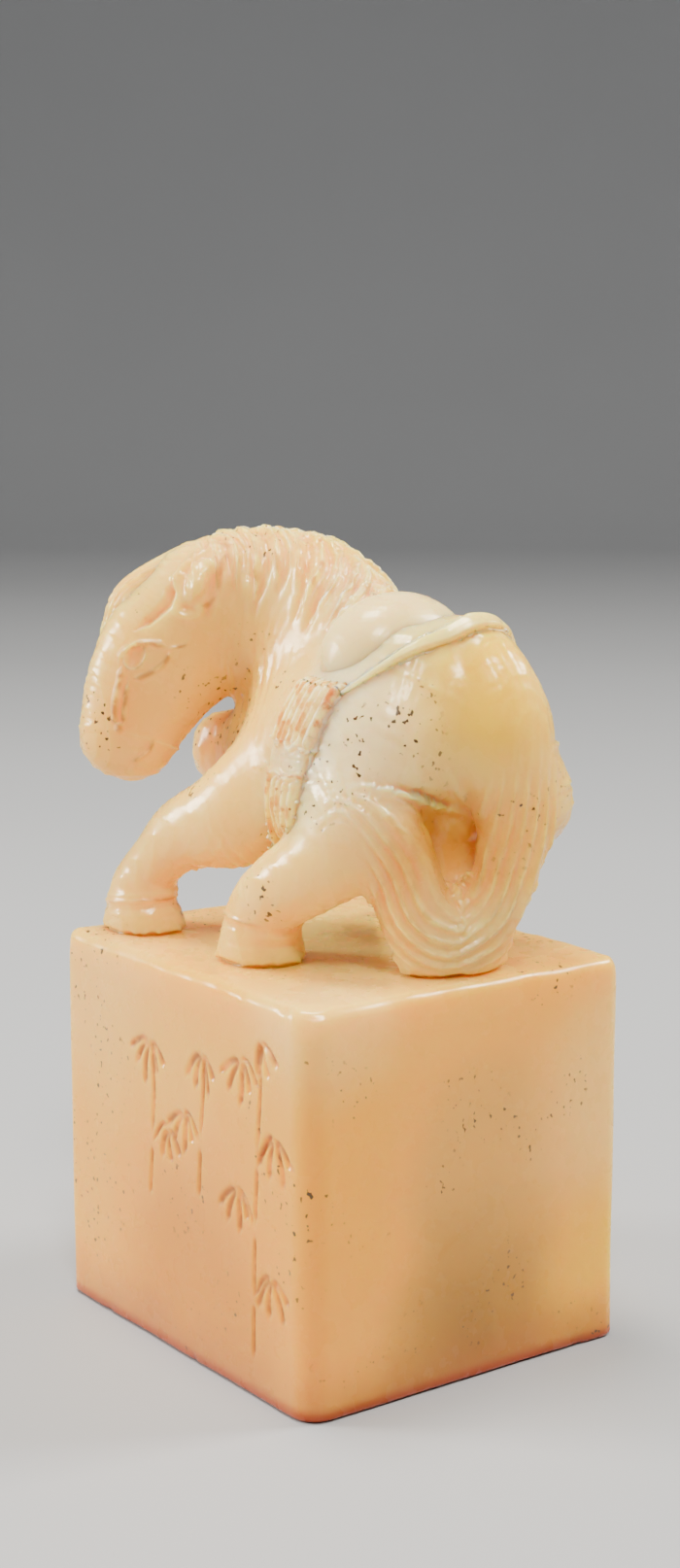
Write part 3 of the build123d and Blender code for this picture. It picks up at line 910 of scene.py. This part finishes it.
def girth_relief(p):
    """The strap's cords: fine ones above the knot, and broader ones below."""
    lean = girth_lean(p)
    height = p[:, 2]
    above = ramp(height, KNOT_HEIGHT + 0.8, KNOT_HEIGHT + 1.4)
    below = ramp(height, KNOT_HEIGHT - 1.6, KNOT_HEIGHT - 2.2)
    fine = strands(lean / CORD_GROOVE[0] + 0.08 * ripple(p, 4, 41), *CORD_GROOVE)
    fine += strands(lean / CORD_FINE_GROOVE[0] + 0.5, *CORD_FINE_GROOVE) * ramp(lean, 1.0, 1.6)
    broad = strands(lean / CORD_BROAD_GROOVE[0] + 0.2 * ripple(p, 3, 42), *CORD_BROAD_GROOVE)
    cords = fine * above + broad * below
    breaks = valley(height - KNOT_HEIGHT - 0.9 + 0.25 * np.sin(lean * 3), 0.3)
    breaks += valley(height - KNOT_HEIGHT + 1.5 + 0.2 * np.sin(lean * 2), 0.3)
    pad = 0.10 * ripple(p, 1.6, 44) * (1 - above) * (1 - below)
    cut = cords + 0.4 * breaks
    edge = valley(GIRTH_HALF_WIDTH - np.abs(lean) - 0.2, 0.3) * 0.12
    return edge + pad - cut + 0.03 * ripple(p, 1.2, 43), np.clip(cut * 2.6, 0, 1)


# The block's rounded corners and edges
NEAR_CORNER_ROUNDING = 2.4
CORNER_ROUNDING = 1.4
TOP_EDGE_ROUNDING = 1.1
FACE_EDGE_ROUNDING = 0.5

# The seal face, as in the part
RELIEF_DEPTH = 0.8
RIM_WIDTH = 2.2
PETAL_BREADTH = 8.0
BOSS_DIAMETER = 9.0
VEIN_WIDTH = 0.9

# The sprig on the left face: each stem's points, and each cluster's foot, heading, leaves and longest leaf
SPRIG_DEPTH = 0.26
STEM_WIDTH = 0.30
LEAF_WIDTH = 0.46
STEMS = (
    ((11.0, 3.2), (11.1, 8.4)),
    ((11.15, 8.8), (11.3, 14.2)),
    ((11.3, 14.6), (11.6, 20.0)),
    ((11.6, 20.4), (12.2, 26.4), (12.0, 30.6)),
    ((11.1, 8.6), (12.2, 10.4), (13.4, 11.2)),
    ((11.3, 14.4), (9.9, 16.6), (8.6, 17.4)),
    ((11.6, 20.2), (12.8, 22.2), (13.9, 23.0)),
    ((12.2, 26.0), (10.6, 28.0), (9.4, 28.4)),
    ((3.0, 14.6), (3.3, 19.4)),
    ((3.3, 19.8), (3.8, 24.4), (3.4, 27.6)),
    ((3.3, 19.6), (1.9, 21.4), (0.8, 21.8)),
    ((-4.6, 12.8), (-4.2, 17.6)),
    ((-4.2, 18.0), (-3.9, 23.0), (-4.6, 27.0)),
    ((-4.2, 17.8), (-2.8, 19.6), (-1.9, 19.9)),
)
CLUSTERS = (
    (13.4, 11.2, 282, 4, 4.4), (8.6, 17.4, 262, 4, 4.2), (13.9, 23.0, 276, 4, 4.6),
    (9.4, 28.4, 254, 4, 4.4), (12.0, 30.6, 296, 3, 3.8), (0.8, 21.8, 256, 4, 4.0),
    (3.4, 27.6, 272, 4, 4.2), (-1.9, 19.9, 284, 3, 3.6), (-4.6, 27.0, 262, 5, 4.4),
)
LEAF_SPREAD = 27
LEAF_BEND = 0.06
LEAF_START = 0.25


def sprig_strokes():
    """Each stem of the sprig, and each leaf of the clusters at its tips, as a carved line."""
    strokes = [(stem, STEM_WIDTH, SPRIG_DEPTH) for stem in STEMS]
    for x, z, middle, count, longest in CLUSTERS:
        for i in range(count):
            off = i - (count - 1) / 2
            turn = radians(middle + off * LEAF_SPREAD)
            length = longest * (1 - 0.13 * abs(off) - 0.1 * (i % 2))
            along = np.array([cos(turn), sin(turn)])
            bend = np.array([-along[1], along[0]]) * length * LEAF_BEND * (1 if off > 0 else -1)
            foot = np.array([x, z]) + along * LEAF_START
            leaf = (foot, foot + along * length / 2 + bend, foot + along * length)
            strokes.append((leaf, LEAF_WIDTH, SPRIG_DEPTH))
    return strokes


def counts_between(stops, gaps):
    """How many steps of about each gap fit from stop to stop."""
    return [max(2, round(abs(end - start) / gap)) for start, end, gap in zip(stops[:-1], stops[1:], gaps)]


def steps_between(stops, counts):
    """So many even steps from each stop to the next, with the last stop left out."""
    made = []
    for start, end, count in zip(stops[:-1], stops[1:], counts):
        made += list(np.linspace(start, end, count + 1)[:-1])
    return made


# The block's mesh: its gaps where the sprig is and elsewhere, its rows, and the sprig's reach
FINE_GAP = 0.18
COARSE_GAP = 0.8
CORNER_STEPS = 7
LEAST_CORNER = 0.05
MIDDLE_INSET = HALF_WIDTH - 0.4
FACE_ROWS = 38
TOP_ROWS = 30
SPRIG_FROM, SPRIG_TO = -8.4, 16.0
SPRIG_FOOT, SPRIG_HEAD = 2.6, 31.2


def outline(inset):
    """The block's plan, anticlockwise and drawn in by the inset, with finer steps where the sprig is."""
    hl, hw = HALF_LENGTH - inset, HALF_WIDTH - inset
    near = max(NEAR_CORNER_ROUNDING - inset, LEAST_CORNER)
    other = max(CORNER_ROUNDING - inset, LEAST_CORNER)
    share = hl / HALF_LENGTH
    whole = (-HALF_LENGTH, SPRIG_FROM, SPRIG_TO, HALF_LENGTH)
    front_counts = counts_between(whole, (COARSE_GAP, FINE_GAP, COARSE_GAP))
    side_counts = counts_between((-HALF_WIDTH, HALF_WIDTH), (COARSE_GAP,))
    back_counts = counts_between((-HALF_LENGTH, HALF_LENGTH), (COARSE_GAP,))

    def corner(x, y, radius, start):
        """A quarter turn, with its last point left out."""
        turns = np.radians(np.linspace(start, start + 90, CORNER_STEPS + 1)[:-1])
        return [(x + radius * cos(turn), y + radius * sin(turn)) for turn in turns]

    stops = (-hl + other, SPRIG_FROM * share, SPRIG_TO * share, hl - near)
    points = [(x, -hw) for x in steps_between(stops, front_counts)]
    points += corner(hl - near, -hw + near, near, -90)
    points += [(hl, y) for y in steps_between((-hw + near, hw - other), side_counts)]
    points += corner(hl - other, hw - other, other, 0)
    points += [(x, hw) for x in steps_between((hl - other, -hl + other), back_counts)]
    points += corner(-hl + other, hw - other, other, 90)
    points += [(-hl, y) for y in steps_between((hw - other, -hw + other), side_counts)]
    points += corner(-hl + other, -hw + other, other, 180)
    return points


def block_rows():
    """The inset and height of each row of the block's skin, from the seal face's middle to the top's."""
    rows = [(inset, 0.0) for inset in np.linspace(MIDDLE_INSET, FACE_EDGE_ROUNDING, FACE_ROWS)[:-1]]
    for turn in np.radians(np.linspace(0, 90, 6)):
        rows.append((FACE_EDGE_ROUNDING * (1 - sin(turn)), FACE_EDGE_ROUNDING * (1 - cos(turn))))
    stops = (FACE_EDGE_ROUNDING, SPRIG_FOOT, SPRIG_HEAD, PLATE - TOP_EDGE_ROUNDING)
    counts = counts_between(stops, (COARSE_GAP, FINE_GAP, COARSE_GAP))
    rows += [(0.0, z) for z in steps_between(stops, counts)[1:]]
    for turn in np.radians(np.linspace(0, 90, 7)):
        rows.append((TOP_EDGE_ROUNDING * (1 - cos(turn)), PLATE - TOP_EDGE_ROUNDING * (1 - sin(turn))))
    rows += [(inset, PLATE) for inset in np.linspace(TOP_EDGE_ROUNDING, MIDDLE_INSET, TOP_ROWS)[1:]]
    return rows


def face_raised(x, y):
    """1 where the seal face's carving stands, and 0 on its sunk ground."""
    soft = 0.18
    rim = np.maximum(np.abs(x) - HALF_LENGTH, np.abs(y) - HALF_WIDTH) + RIM_WIDTH
    apart = np.hypot(x, y)
    reach = np.hypot(HALF_LENGTH - RIM_WIDTH / 2, HALF_WIDTH - RIM_WIDTH / 2)
    stands = np.maximum(ramp(rim, -soft, soft), ramp(BOSS_DIAMETER / 2 - apart, -soft, soft))
    for sx in (-1, 1):
        for sy in (-1, 1):
            heading = unit((sx * HALF_LENGTH, sy * HALF_WIDTH))
            along = x * heading[0] + y * heading[1] - reach / 2
            across = y * heading[0] - x * heading[1]
            from_middle = np.hypot(along / (reach / 2), across / (PETAL_BREADTH / 2))
            petal = ramp((1 - from_middle) * PETAL_BREADTH / 2, -soft, soft)
            vein = ramp(VEIN_WIDTH / 2 - np.abs(across), -soft, soft) * (apart > BOSS_DIAMETER / 2)
            stands = np.maximum(stands, petal * (1 - vein))
    return stands


# Small chips along the block's edges: the place and the size of each
CHIPS = (
    (18.3, -16.0, 33.8, 2.8), (15.2, -16.4, 33.9, 0.9), (18.7, -8.3, 34.0, 0.6), (18.7, 3.6, 33.9, 0.5),
    (9.4, -16.5, 33.9, 0.8), (-6.8, -16.5, 33.9, 0.6), (18.5, 16.2, 33.6, 0.9), (17.9, -15.8, 21.0, 0.5),
    (18.7, 12.0, 0.2, 0.7), (2.0, -16.5, 0.2, 0.6), (-12.0, -16.5, 0.1, 0.8), (18.2, -15.6, 5.0, 0.6),
    (-18.6, 4.0, 33.9, 0.8),
)
CHIP_DEPTH_SHARE = 0.22
WEAR_DEPTH = 0.16
WEAR_REACH = 2.6


def block_skin():
    """The plain block: a ring of points for each row, closed by a point at each end."""
    rings = []
    for inset, height in block_rows():
        plan = np.array(outline(inset))
        rings.append(np.c_[plan, np.full(len(plan), height)])
    count = len(rings[0])
    turn = np.arange(count)
    onward = (turn + 1) % count
    faces = []
    for start in range(0, (len(rings) - 1) * count, count):
        faces += np.c_[start + turn, start + onward, start + count + onward, start + count + turn].tolist()
    foot_middle = len(rings) * count
    top_middle = foot_middle + 1
    top_start = foot_middle - count
    faces += [[b, a, foot_middle] for a, b in zip(turn.tolist(), onward.tolist())]
    faces += [[top_start + a, top_start + b, top_middle] for a, b in zip(turn.tolist(), onward.tolist())]
    points = np.vstack([*rings, (0, 0, 0), (0, 0, PLATE)])
    return mesh_piece("seal_body", points, faces)


def block_relief(points, normals):
    """How far each point of the block is cut or worn, and the residue in the sprig."""
    height = 0.08 * ripple(points, 12, 51) + 0.02 * ripple(points, 3.5, 52) - 0.08
    side = np.minimum(HALF_LENGTH - np.abs(points[:, 0]), HALF_WIDTH - np.abs(points[:, 1]))
    from_edge = np.hypot(side, PLATE - points[:, 2])
    height -= WEAR_DEPTH * valley(from_edge, WEAR_REACH) * (1 + ripple(points, 5, 53))
    cut, inside = cut_lines(points[:, [0, 2]], sprig_strokes())
    on_left = (points[:, 1] < -HALF_WIDTH + 0.05) & (normals[:, 1] < -0.9)
    height += cut * on_left
    for x, y, z, size in CHIPS:
        apart = np.linalg.norm(points - (x, y, z), axis=1)
        height -= CHIP_DEPTH_SHARE * size * valley(apart, size)
    return height, inside * on_left


def seal_block():
    """The block, with its worn edges, chips, the carved sprig and the carved face."""
    piece = block_skin()
    points = points_of(piece)
    normals = normals_of(piece)
    height, residue = block_relief(points, normals)
    underneath = points[:, 2] < 0.02
    sunk = RELIEF_DEPTH * (1 - face_raised(points[:, 0], points[:, 1])) * underneath
    points = points + normals * np.minimum(height, 0)[:, None]
    points[:, 2] = np.maximum(points[:, 2], 0) + sunk
    move_points(piece, points)
    note_residue(piece, residue + 0.6 * sunk)
    return piece


# The stone's colours
CREAM = (0.95, 0.66, 0.22)
HONEY = (0.92, 0.53, 0.10)
PALE = (0.95, 0.72, 0.36)
BLOCK_GOLD = (0.94, 0.43, 0.02)
FOOT_BROWN = (0.50, 0.18, 0.05)
LOW_EDGE_RED = (0.40, 0.05, 0.01)
RESIDUE = (0.42, 0.13, 0.02)
VEIN = (0.60, 0.30, 0.12)
SPECK = (0.10, 0.06, 0.03)

# Heights between which a colour fades out: the block's gold, its brown foot and a dark red line along its
# lower edges
GOLD_HEIGHTS = (35.5 * MM, 33.0 * MM)
FOOT_HEIGHTS = (9.0 * MM, 1.5 * MM)
LOW_EDGE_RED_HEIGHTS = (1.5 * MM, 0.3 * MM)

# Patches of another colour on the stone, among them painted light and painted shade where marked: the middle
# in millimetres, the radius, the colour and the strength
COLOUR_AND_LIGHT_PATCHES = (
    ((16.5, 0.0, 58.0), 7.5, (0.97, 0.57, 0.00), 0.95),
    ((10.0, -7.5, 55.5), 9.5, (0.88, 0.71, 0.42), 0.85),
    ((7.0, 0.0, 64.0), 7.5, (0.95, 0.70, 0.33), 0.7),
    # Painted shade: dark amber in the hollow inside the tail's turn
    ((14.0, -0.5, 44.5), 5.5, (0.76, 0.34, 0.00), 0.95),
    ((-15.0, -12.0, 50.0), 8.0, (0.94, 0.48, 0.10), 0.6),
    ((-14.5, -8.0, 64.0), 6.0, (0.95, 0.56, 0.16), 0.5),
    ((-7.0, -6.0, 55.0), 9.0, (0.84, 0.47, 0.04), 0.7),
    ((-13.0, -4.0, 48.0), 5.0, (0.92, 0.48, 0.16), 0.5),
    # Painted light: the block's top round the hooves made brighter and more golden, lifting the shade that
    # the horse casts there
    ((2.0, 2.0, 34.0), 13.0, (0.92, 0.76, 0.16), 0.8),
    # Painted light: the left face paler at its upper corner by the head, where the left soft box falls
    ((-17.0, -17.0, 31.0), 13.0, (0.96, 0.54, 0.14), 0.8),
    ((4.0, -17.0, 6.0), 16.0, (0.64, 0.24, 0.00), 0.8),
    # Painted light: a glow on the right face beside the near upright edge, as of light shining through the
    # stone there
    ((18.0, -15.0, 18.0), 12.0, (0.98, 0.42, 0.00), 0.6),
    ((18.0, -15.0, 34.0), 8.0, (0.96, 0.60, 0.18), 0.7),
    # Painted shade: the middle of the right face darker, as a face turned from the main light
    ((19.0, 2.0, 19.0), 11.0, (0.66, 0.36, 0.08), 0.8),
    ((19.0, 17.0, 22.0), 10.0, (0.97, 0.58, 0.18), 0.85),
    ((19.0, 0.0, 3.0), 11.0, (0.26, 0.13, 0.03), 0.8),
    ((19.0, 16.0, 5.0), 8.0, (0.94, 0.52, 0.01), 0.9),
)

# Shares of a patch's radius: where it ends, and where it has its full strength
PATCH_END = 1.35
PATCH_FULL = 0.25
PATCH_BLUR = 8.0 * MM


class Nodes:
    """A short way to build a material's node tree."""

    def __init__(self, name):
        self.material = bpy.data.materials.new(name)
        self.material.use_nodes = True
        self.tree = self.material.node_tree
        self.shader = self.tree.nodes["Principled BSDF"]

    def add(self, kind, inputs=(), **settings):
        """A node with its settings, and its inputs as values or as another node's output."""
        node = self.tree.nodes.new(kind)
        for name, value in settings.items():
            setattr(node, name, value)
        for key, value in dict(inputs).items():
            self.feed(node.inputs[key], value)
        return node

    def feed(self, socket, value):
        """A value on a socket, or a link into it."""
        if isinstance(value, bpy.types.NodeSocket):
            self.tree.links.new(value, socket)
        else:
            socket.default_value = value

    def mix(self, share, first, second):
        """A colour between two."""
        node = self.add("ShaderNodeMix", data_type="RGBA")
        self.feed(node.inputs[0], share)
        self.feed(node.inputs[6], first if isinstance(first, bpy.types.NodeSocket) else (*first, 1))
        self.feed(node.inputs[7], second if isinstance(second, bpy.types.NodeSocket) else (*second, 1))
        return node.outputs[2]

    def math(self, operation, first, second):
        """A sum, product or the like."""
        return self.add("ShaderNodeMath", {0: first, 1: second}, operation=operation).outputs[0]

    def span(self, value, start, end, low=0.0, high=1.0):
        """A value's range, drawn smoothly onto another."""
        inputs = {0: value, 1: start, 2: end, 3: low, 4: high}
        return self.add("ShaderNodeMapRange", inputs, interpolation_type="SMOOTHSTEP").outputs[0]

    def noise(self, where, size, detail, distortion=0.0):
        """Soft noise whose marks are about that size, in millimetres."""
        inputs = {"Vector": where, "Scale": 1 / (size * MM), "Detail": detail, "Distortion": distortion}
        return self.add("ShaderNodeTexNoise", inputs).outputs[0]


def stone_colour(nodes, where, paleness, staining):
    """The stone's colour, from its clouds and its patches, painted light and painted shade among them, to
    its specks, and how stained each place is.
    """
    clouds = nodes.span(nodes.noise(where, 14, 3.0, 0.6), 0.35, 0.68)
    colour = nodes.mix(clouds, HONEY, CREAM)
    height = nodes.add("ShaderNodeSeparateXYZ", {0: where}).outputs[2]
    colour = nodes.mix(nodes.span(height, *GOLD_HEIGHTS, 0.0, 0.85), colour, BLOCK_GOLD)
    for middle, radius, tint, strength in COLOUR_AND_LIGHT_PATCHES:
        centre = tuple(c * MM for c in middle)
        gap = nodes.add("ShaderNodeVectorMath", {0: where, 1: centre}, operation="DISTANCE")
        blur = nodes.math("MULTIPLY", nodes.math("SUBTRACT", nodes.noise(where, 12, 1.0), 0.5), PATCH_BLUR)
        apart = nodes.math("ADD", gap.outputs["Value"], blur)
        share = nodes.span(apart, radius * MM * PATCH_END, radius * MM * PATCH_FULL, 0.0, strength)
        colour = nodes.mix(share, colour, tint)
    wavy = nodes.math("ADD", height, nodes.math("MULTIPLY", nodes.noise(where, 7, 3.0), 5.0 * MM))
    colour = nodes.mix(nodes.span(wavy, *FOOT_HEIGHTS, 0.0, 0.75), colour, FOOT_BROWN)
    colour = nodes.mix(nodes.span(height, *LOW_EDGE_RED_HEIGHTS, 0.0, 0.95), colour, LOW_EDGE_RED)
    colour = nodes.mix(paleness, colour, PALE)
    veins = nodes.span(nodes.noise(where, 5, 5.0, 1.5), 0.58, 0.74, 0.0, 0.09)
    colour = nodes.mix(veins, colour, VEIN)
    crowd = nodes.span(nodes.noise(where, 9, 1.0), 0.53, 0.62)
    dots = nodes.span(nodes.noise(where, 0.55, 1.0), 0.66, 0.71)
    colour = nodes.mix(nodes.math("MULTIPLY", crowd, dots), colour, SPECK)
    residue = nodes.add("ShaderNodeAttribute", attribute_name="residue").outputs["Fac"]
    uneven = nodes.span(nodes.noise(where, 1.3, 3.0), 0.38, 0.60, 0.15, 1.0)
    stain = nodes.math("MULTIPLY", nodes.math("MULTIPLY", residue, uneven), staining)
    return nodes.mix(stain, colour, RESIDUE), stain


# How light scatters in the stone, and its polish
POLISHED = {
    "Subsurface Weight": 1.0,
    "Subsurface Radius": (1.0, 0.70, 0.34),
    "Subsurface Scale": 3.6 * MM,
    "Subsurface Anisotropy": 0.5,
    "IOR": 1.55,
    "Specular IOR Level": 0.38,
    "Specular Tint": (1.0, 0.88, 0.66, 1),
    "Coat Weight": 0.15,
    "Coat Roughness": 0.10,
}


def soapstone(name, paleness=0.0, staining=0.9, roughness=0.24):
    """Polished, translucent soapstone."""
    nodes = Nodes(name)
    where = nodes.add("ShaderNodeTexCoord").outputs["Object"]
    colour, stain = stone_colour(nodes, where, paleness, staining)
    shader = nodes.shader
    nodes.feed(shader.inputs["Base Color"], colour)
    for socket, value in POLISHED.items():
        shader.inputs[socket].default_value = value
    smear = nodes.span(nodes.noise(where, 2.5, 4.0), 0.3, 0.7, roughness - 0.06, roughness + 0.12)
    nodes.feed(shader.inputs["Roughness"], nodes.math("ADD", smear, nodes.math("MULTIPLY", stain, 0.3)))
    bumps = {"Height": nodes.noise(where, 0.35, 3.0), "Distance": 0.02 * MM, "Strength": 0.5}
    grain = nodes.add("ShaderNodeBump", bumps)
    nodes.feed(shader.inputs["Normal"], grain.outputs[0])
    return nodes.material


def plain(name, colour, roughness):
    """A flat finish for the studio, with a faint unevenness."""
    nodes = Nodes(name)
    where = nodes.add("ShaderNodeTexCoord").outputs["Object"]
    shade = nodes.span(nodes.noise(where, 180, 2.0), 0.3, 0.7)
    darker = tuple(c * 0.97 for c in colour)
    nodes.feed(nodes.shader.inputs["Base Color"], nodes.mix(shade, darker, colour))
    nodes.shader.inputs["Roughness"].default_value = roughness
    return nodes.material


def dress(piece, material, slot, *stands_for):
    """Finishes a piece and makes it ride on the one body, in place of the nodes it stands for."""
    piece.data.materials.clear()
    piece.data.materials.append(material)
    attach(piece, "root")
    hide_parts(*stands_for)


def carved_finely(p):
    """Where the face, the ears, the hooves, the mane and the tail's strands are."""
    start, round_by, along, beyond = mane_place(p)
    face = (HEAD(p) < 1.2) | (LEFT_EAR(p) < 1.0) | (RIGHT_EAR(p) < 1.0)
    hooves = (LEFT_FORE_HOOF(p) < 0.8) | (LEFT_HIND_HOOF(p) < 0.8)
    locks = (mane_lift(p, start, round_by, along, beyond) > 0.05) | (MANE(p) < 0.6)
    plume = (tail_form(p) < 0.6) & (p[:, 2] < 56)
    return face | hooves | locks | plume


def make_seal():
    """Every piece of the seal."""
    stone = soapstone("soapstone")
    pale = soapstone("soapstone_pale", paleness=0.30)
    carved = soapstone("soapstone_carved", staining=1.0, roughness=0.30)

    dress(seal_block(), stone, "soapstone", "seal_block")
    body = sculpt("horse", horse, HORSE_ROOM, BODY_STEP, horse_relief, carved_finely)
    dress(
        body, stone, "soapstone", "horse_trunk", "horse_neck", "horse_head", "left_ear", "right_ear",
        "left_foreleg", "right_foreleg", "left_hind_leg", "right_hind_leg", "left_fore_hoof",
        "right_fore_hoof", "left_hind_hoof", "right_hind_hoof", "mane", "tail",
    )
    lock = sculpt("forelock_lock", FORELOCK, FORELOCK_ROOM, HARNESS_STEP, forelock_relief)
    dress(lock, carved, "soapstone_carved", "forelock")
    pad = sculpt("saddle_pillow", seat, SEAT_ROOM, SEAT_STEP, seat_relief)
    dress(pad, pale, "soapstone_pale", "saddle_seat")
    border = sculpt("cloth_border", cloth, CLOTH_ROOM, HARNESS_STEP, cloth_relief)
    dress(border, pale, "soapstone_pale", "saddle_cloth")
    strap = sculpt("girth_cords", girth, GIRTH_ROOM, HARNESS_STEP, girth_relief)
    dress(strap, carved, "soapstone_carved", "girth_strap")


# Each soft box: its name, azimuth and elevation in degrees, distance and size in metres, and watts
SOFT_BOXES = (
    ("left_box", -42, 18, 0.55, 0.16, 4.6),
    ("top_box", -60, 80, 0.55, 0.16, 4.6),
    ("back_box", 158, 42, 0.60, 0.16, 5.0),
    ("right_box", 58, 52, 0.60, 0.12, 3.8),
)
WARM = (1.0, 0.94, 0.84)
LIT_HEIGHT = 45 * MM

# The floor's radius, the curve up into the wall and the wall's height, in metres, and the colours
FLOOR_RADIUS = 0.9
WALL_CURVE = 0.45
WALL_HEIGHT = 1.6
FLOOR_SIDES = 96
FLOOR_COLOUR = (0.34, 0.355, 0.38)
SURROUND = (0.84, 0.83, 0.82, 1)
SURROUND_STRENGTH = 0.45


def outward(azimuth, elevation):
    """A direction out from the seal. Azimuth 0 is in front of its left flank, and 90 is behind its tail."""
    a, e = radians(azimuth), radians(elevation)
    return Vector((sin(a) * cos(e), -cos(a) * cos(e), sin(e)))


def add_facing(name, data, stands, back):
    """A camera or a light that stands there and looks against the direction given."""
    made = bpy.data.objects.new(name, data)
    made.location = stands
    made.rotation_mode = "QUATERNION"
    made.rotation_quaternion = (-back).to_track_quat("-Z", "Y")
    bpy.context.scene.collection.objects.link(made)
    return made


def camera():
    """The photograph's camera."""
    data = bpy.data.cameras.new("camera")
    data.lens = CAMERA_LENS
    data.clip_start, data.clip_end = 0.01, 20
    made = add_facing("camera", data, CAMERA_PLACE, outward(CAMERA_AZIMUTH, CAMERA_ELEVATION))
    bpy.context.scene.camera = made


def soft_light(name, azimuth, elevation, distance, size, watts):
    """A square soft box, turned to the seal."""
    away = outward(azimuth, elevation)
    light = bpy.data.lights.new(name, "AREA")
    light.size = size
    light.energy = watts
    light.color = WARM
    add_facing(name, light, Vector((0, 0, LIT_HEIGHT)) + away * distance, away)


def floor_profile():
    """The floor's section from near its middle to the top of the wall, in metres."""
    profile = [(0.15, 0.0), (0.4, 0.0), (FLOOR_RADIUS, 0.0)]
    for turn in np.radians(np.linspace(0, 90, 13))[1:]:
        profile.append((FLOOR_RADIUS + WALL_CURVE * sin(turn), WALL_CURVE * (1 - cos(turn))))
    profile.append((FLOOR_RADIUS + WALL_CURVE, WALL_HEIGHT))
    return profile


def studio_floor():
    """A plain pale floor that curves up into a wall all round."""
    profile = floor_profile()
    sides = FLOOR_SIDES
    points = [
        (r * cos(2 * pi * i / sides) / MM, r * sin(2 * pi * i / sides) / MM, z / MM)
        for r, z in profile for i in range(sides)
    ]
    points.append((0, 0, 0))
    faces = [
        [k * sides + i, (k + 1) * sides + i, (k + 1) * sides + (i + 1) % sides, k * sides + (i + 1) % sides]
        for k in range(len(profile) - 1) for i in range(sides)
    ]
    faces += [[i, (i + 1) % sides, len(points) - 1] for i in range(sides)]
    floor = mesh_piece("studio_floor", points, faces)
    floor.data.materials.append(plain("studio_floor", FLOOR_COLOUR, 0.6))


def studio():
    """The floor, the soft boxes and a pale surround."""
    studio_floor()
    for box in SOFT_BOXES:
        soft_light(*box)
    world = bpy.data.worlds.new("studio")
    world.use_nodes = True
    surround = world.node_tree.nodes["Background"]
    surround.inputs["Color"].default_value = SURROUND
    surround.inputs["Strength"].default_value = SURROUND_STRENGTH
    bpy.context.scene.world = world


camera()
make_seal()
studio()
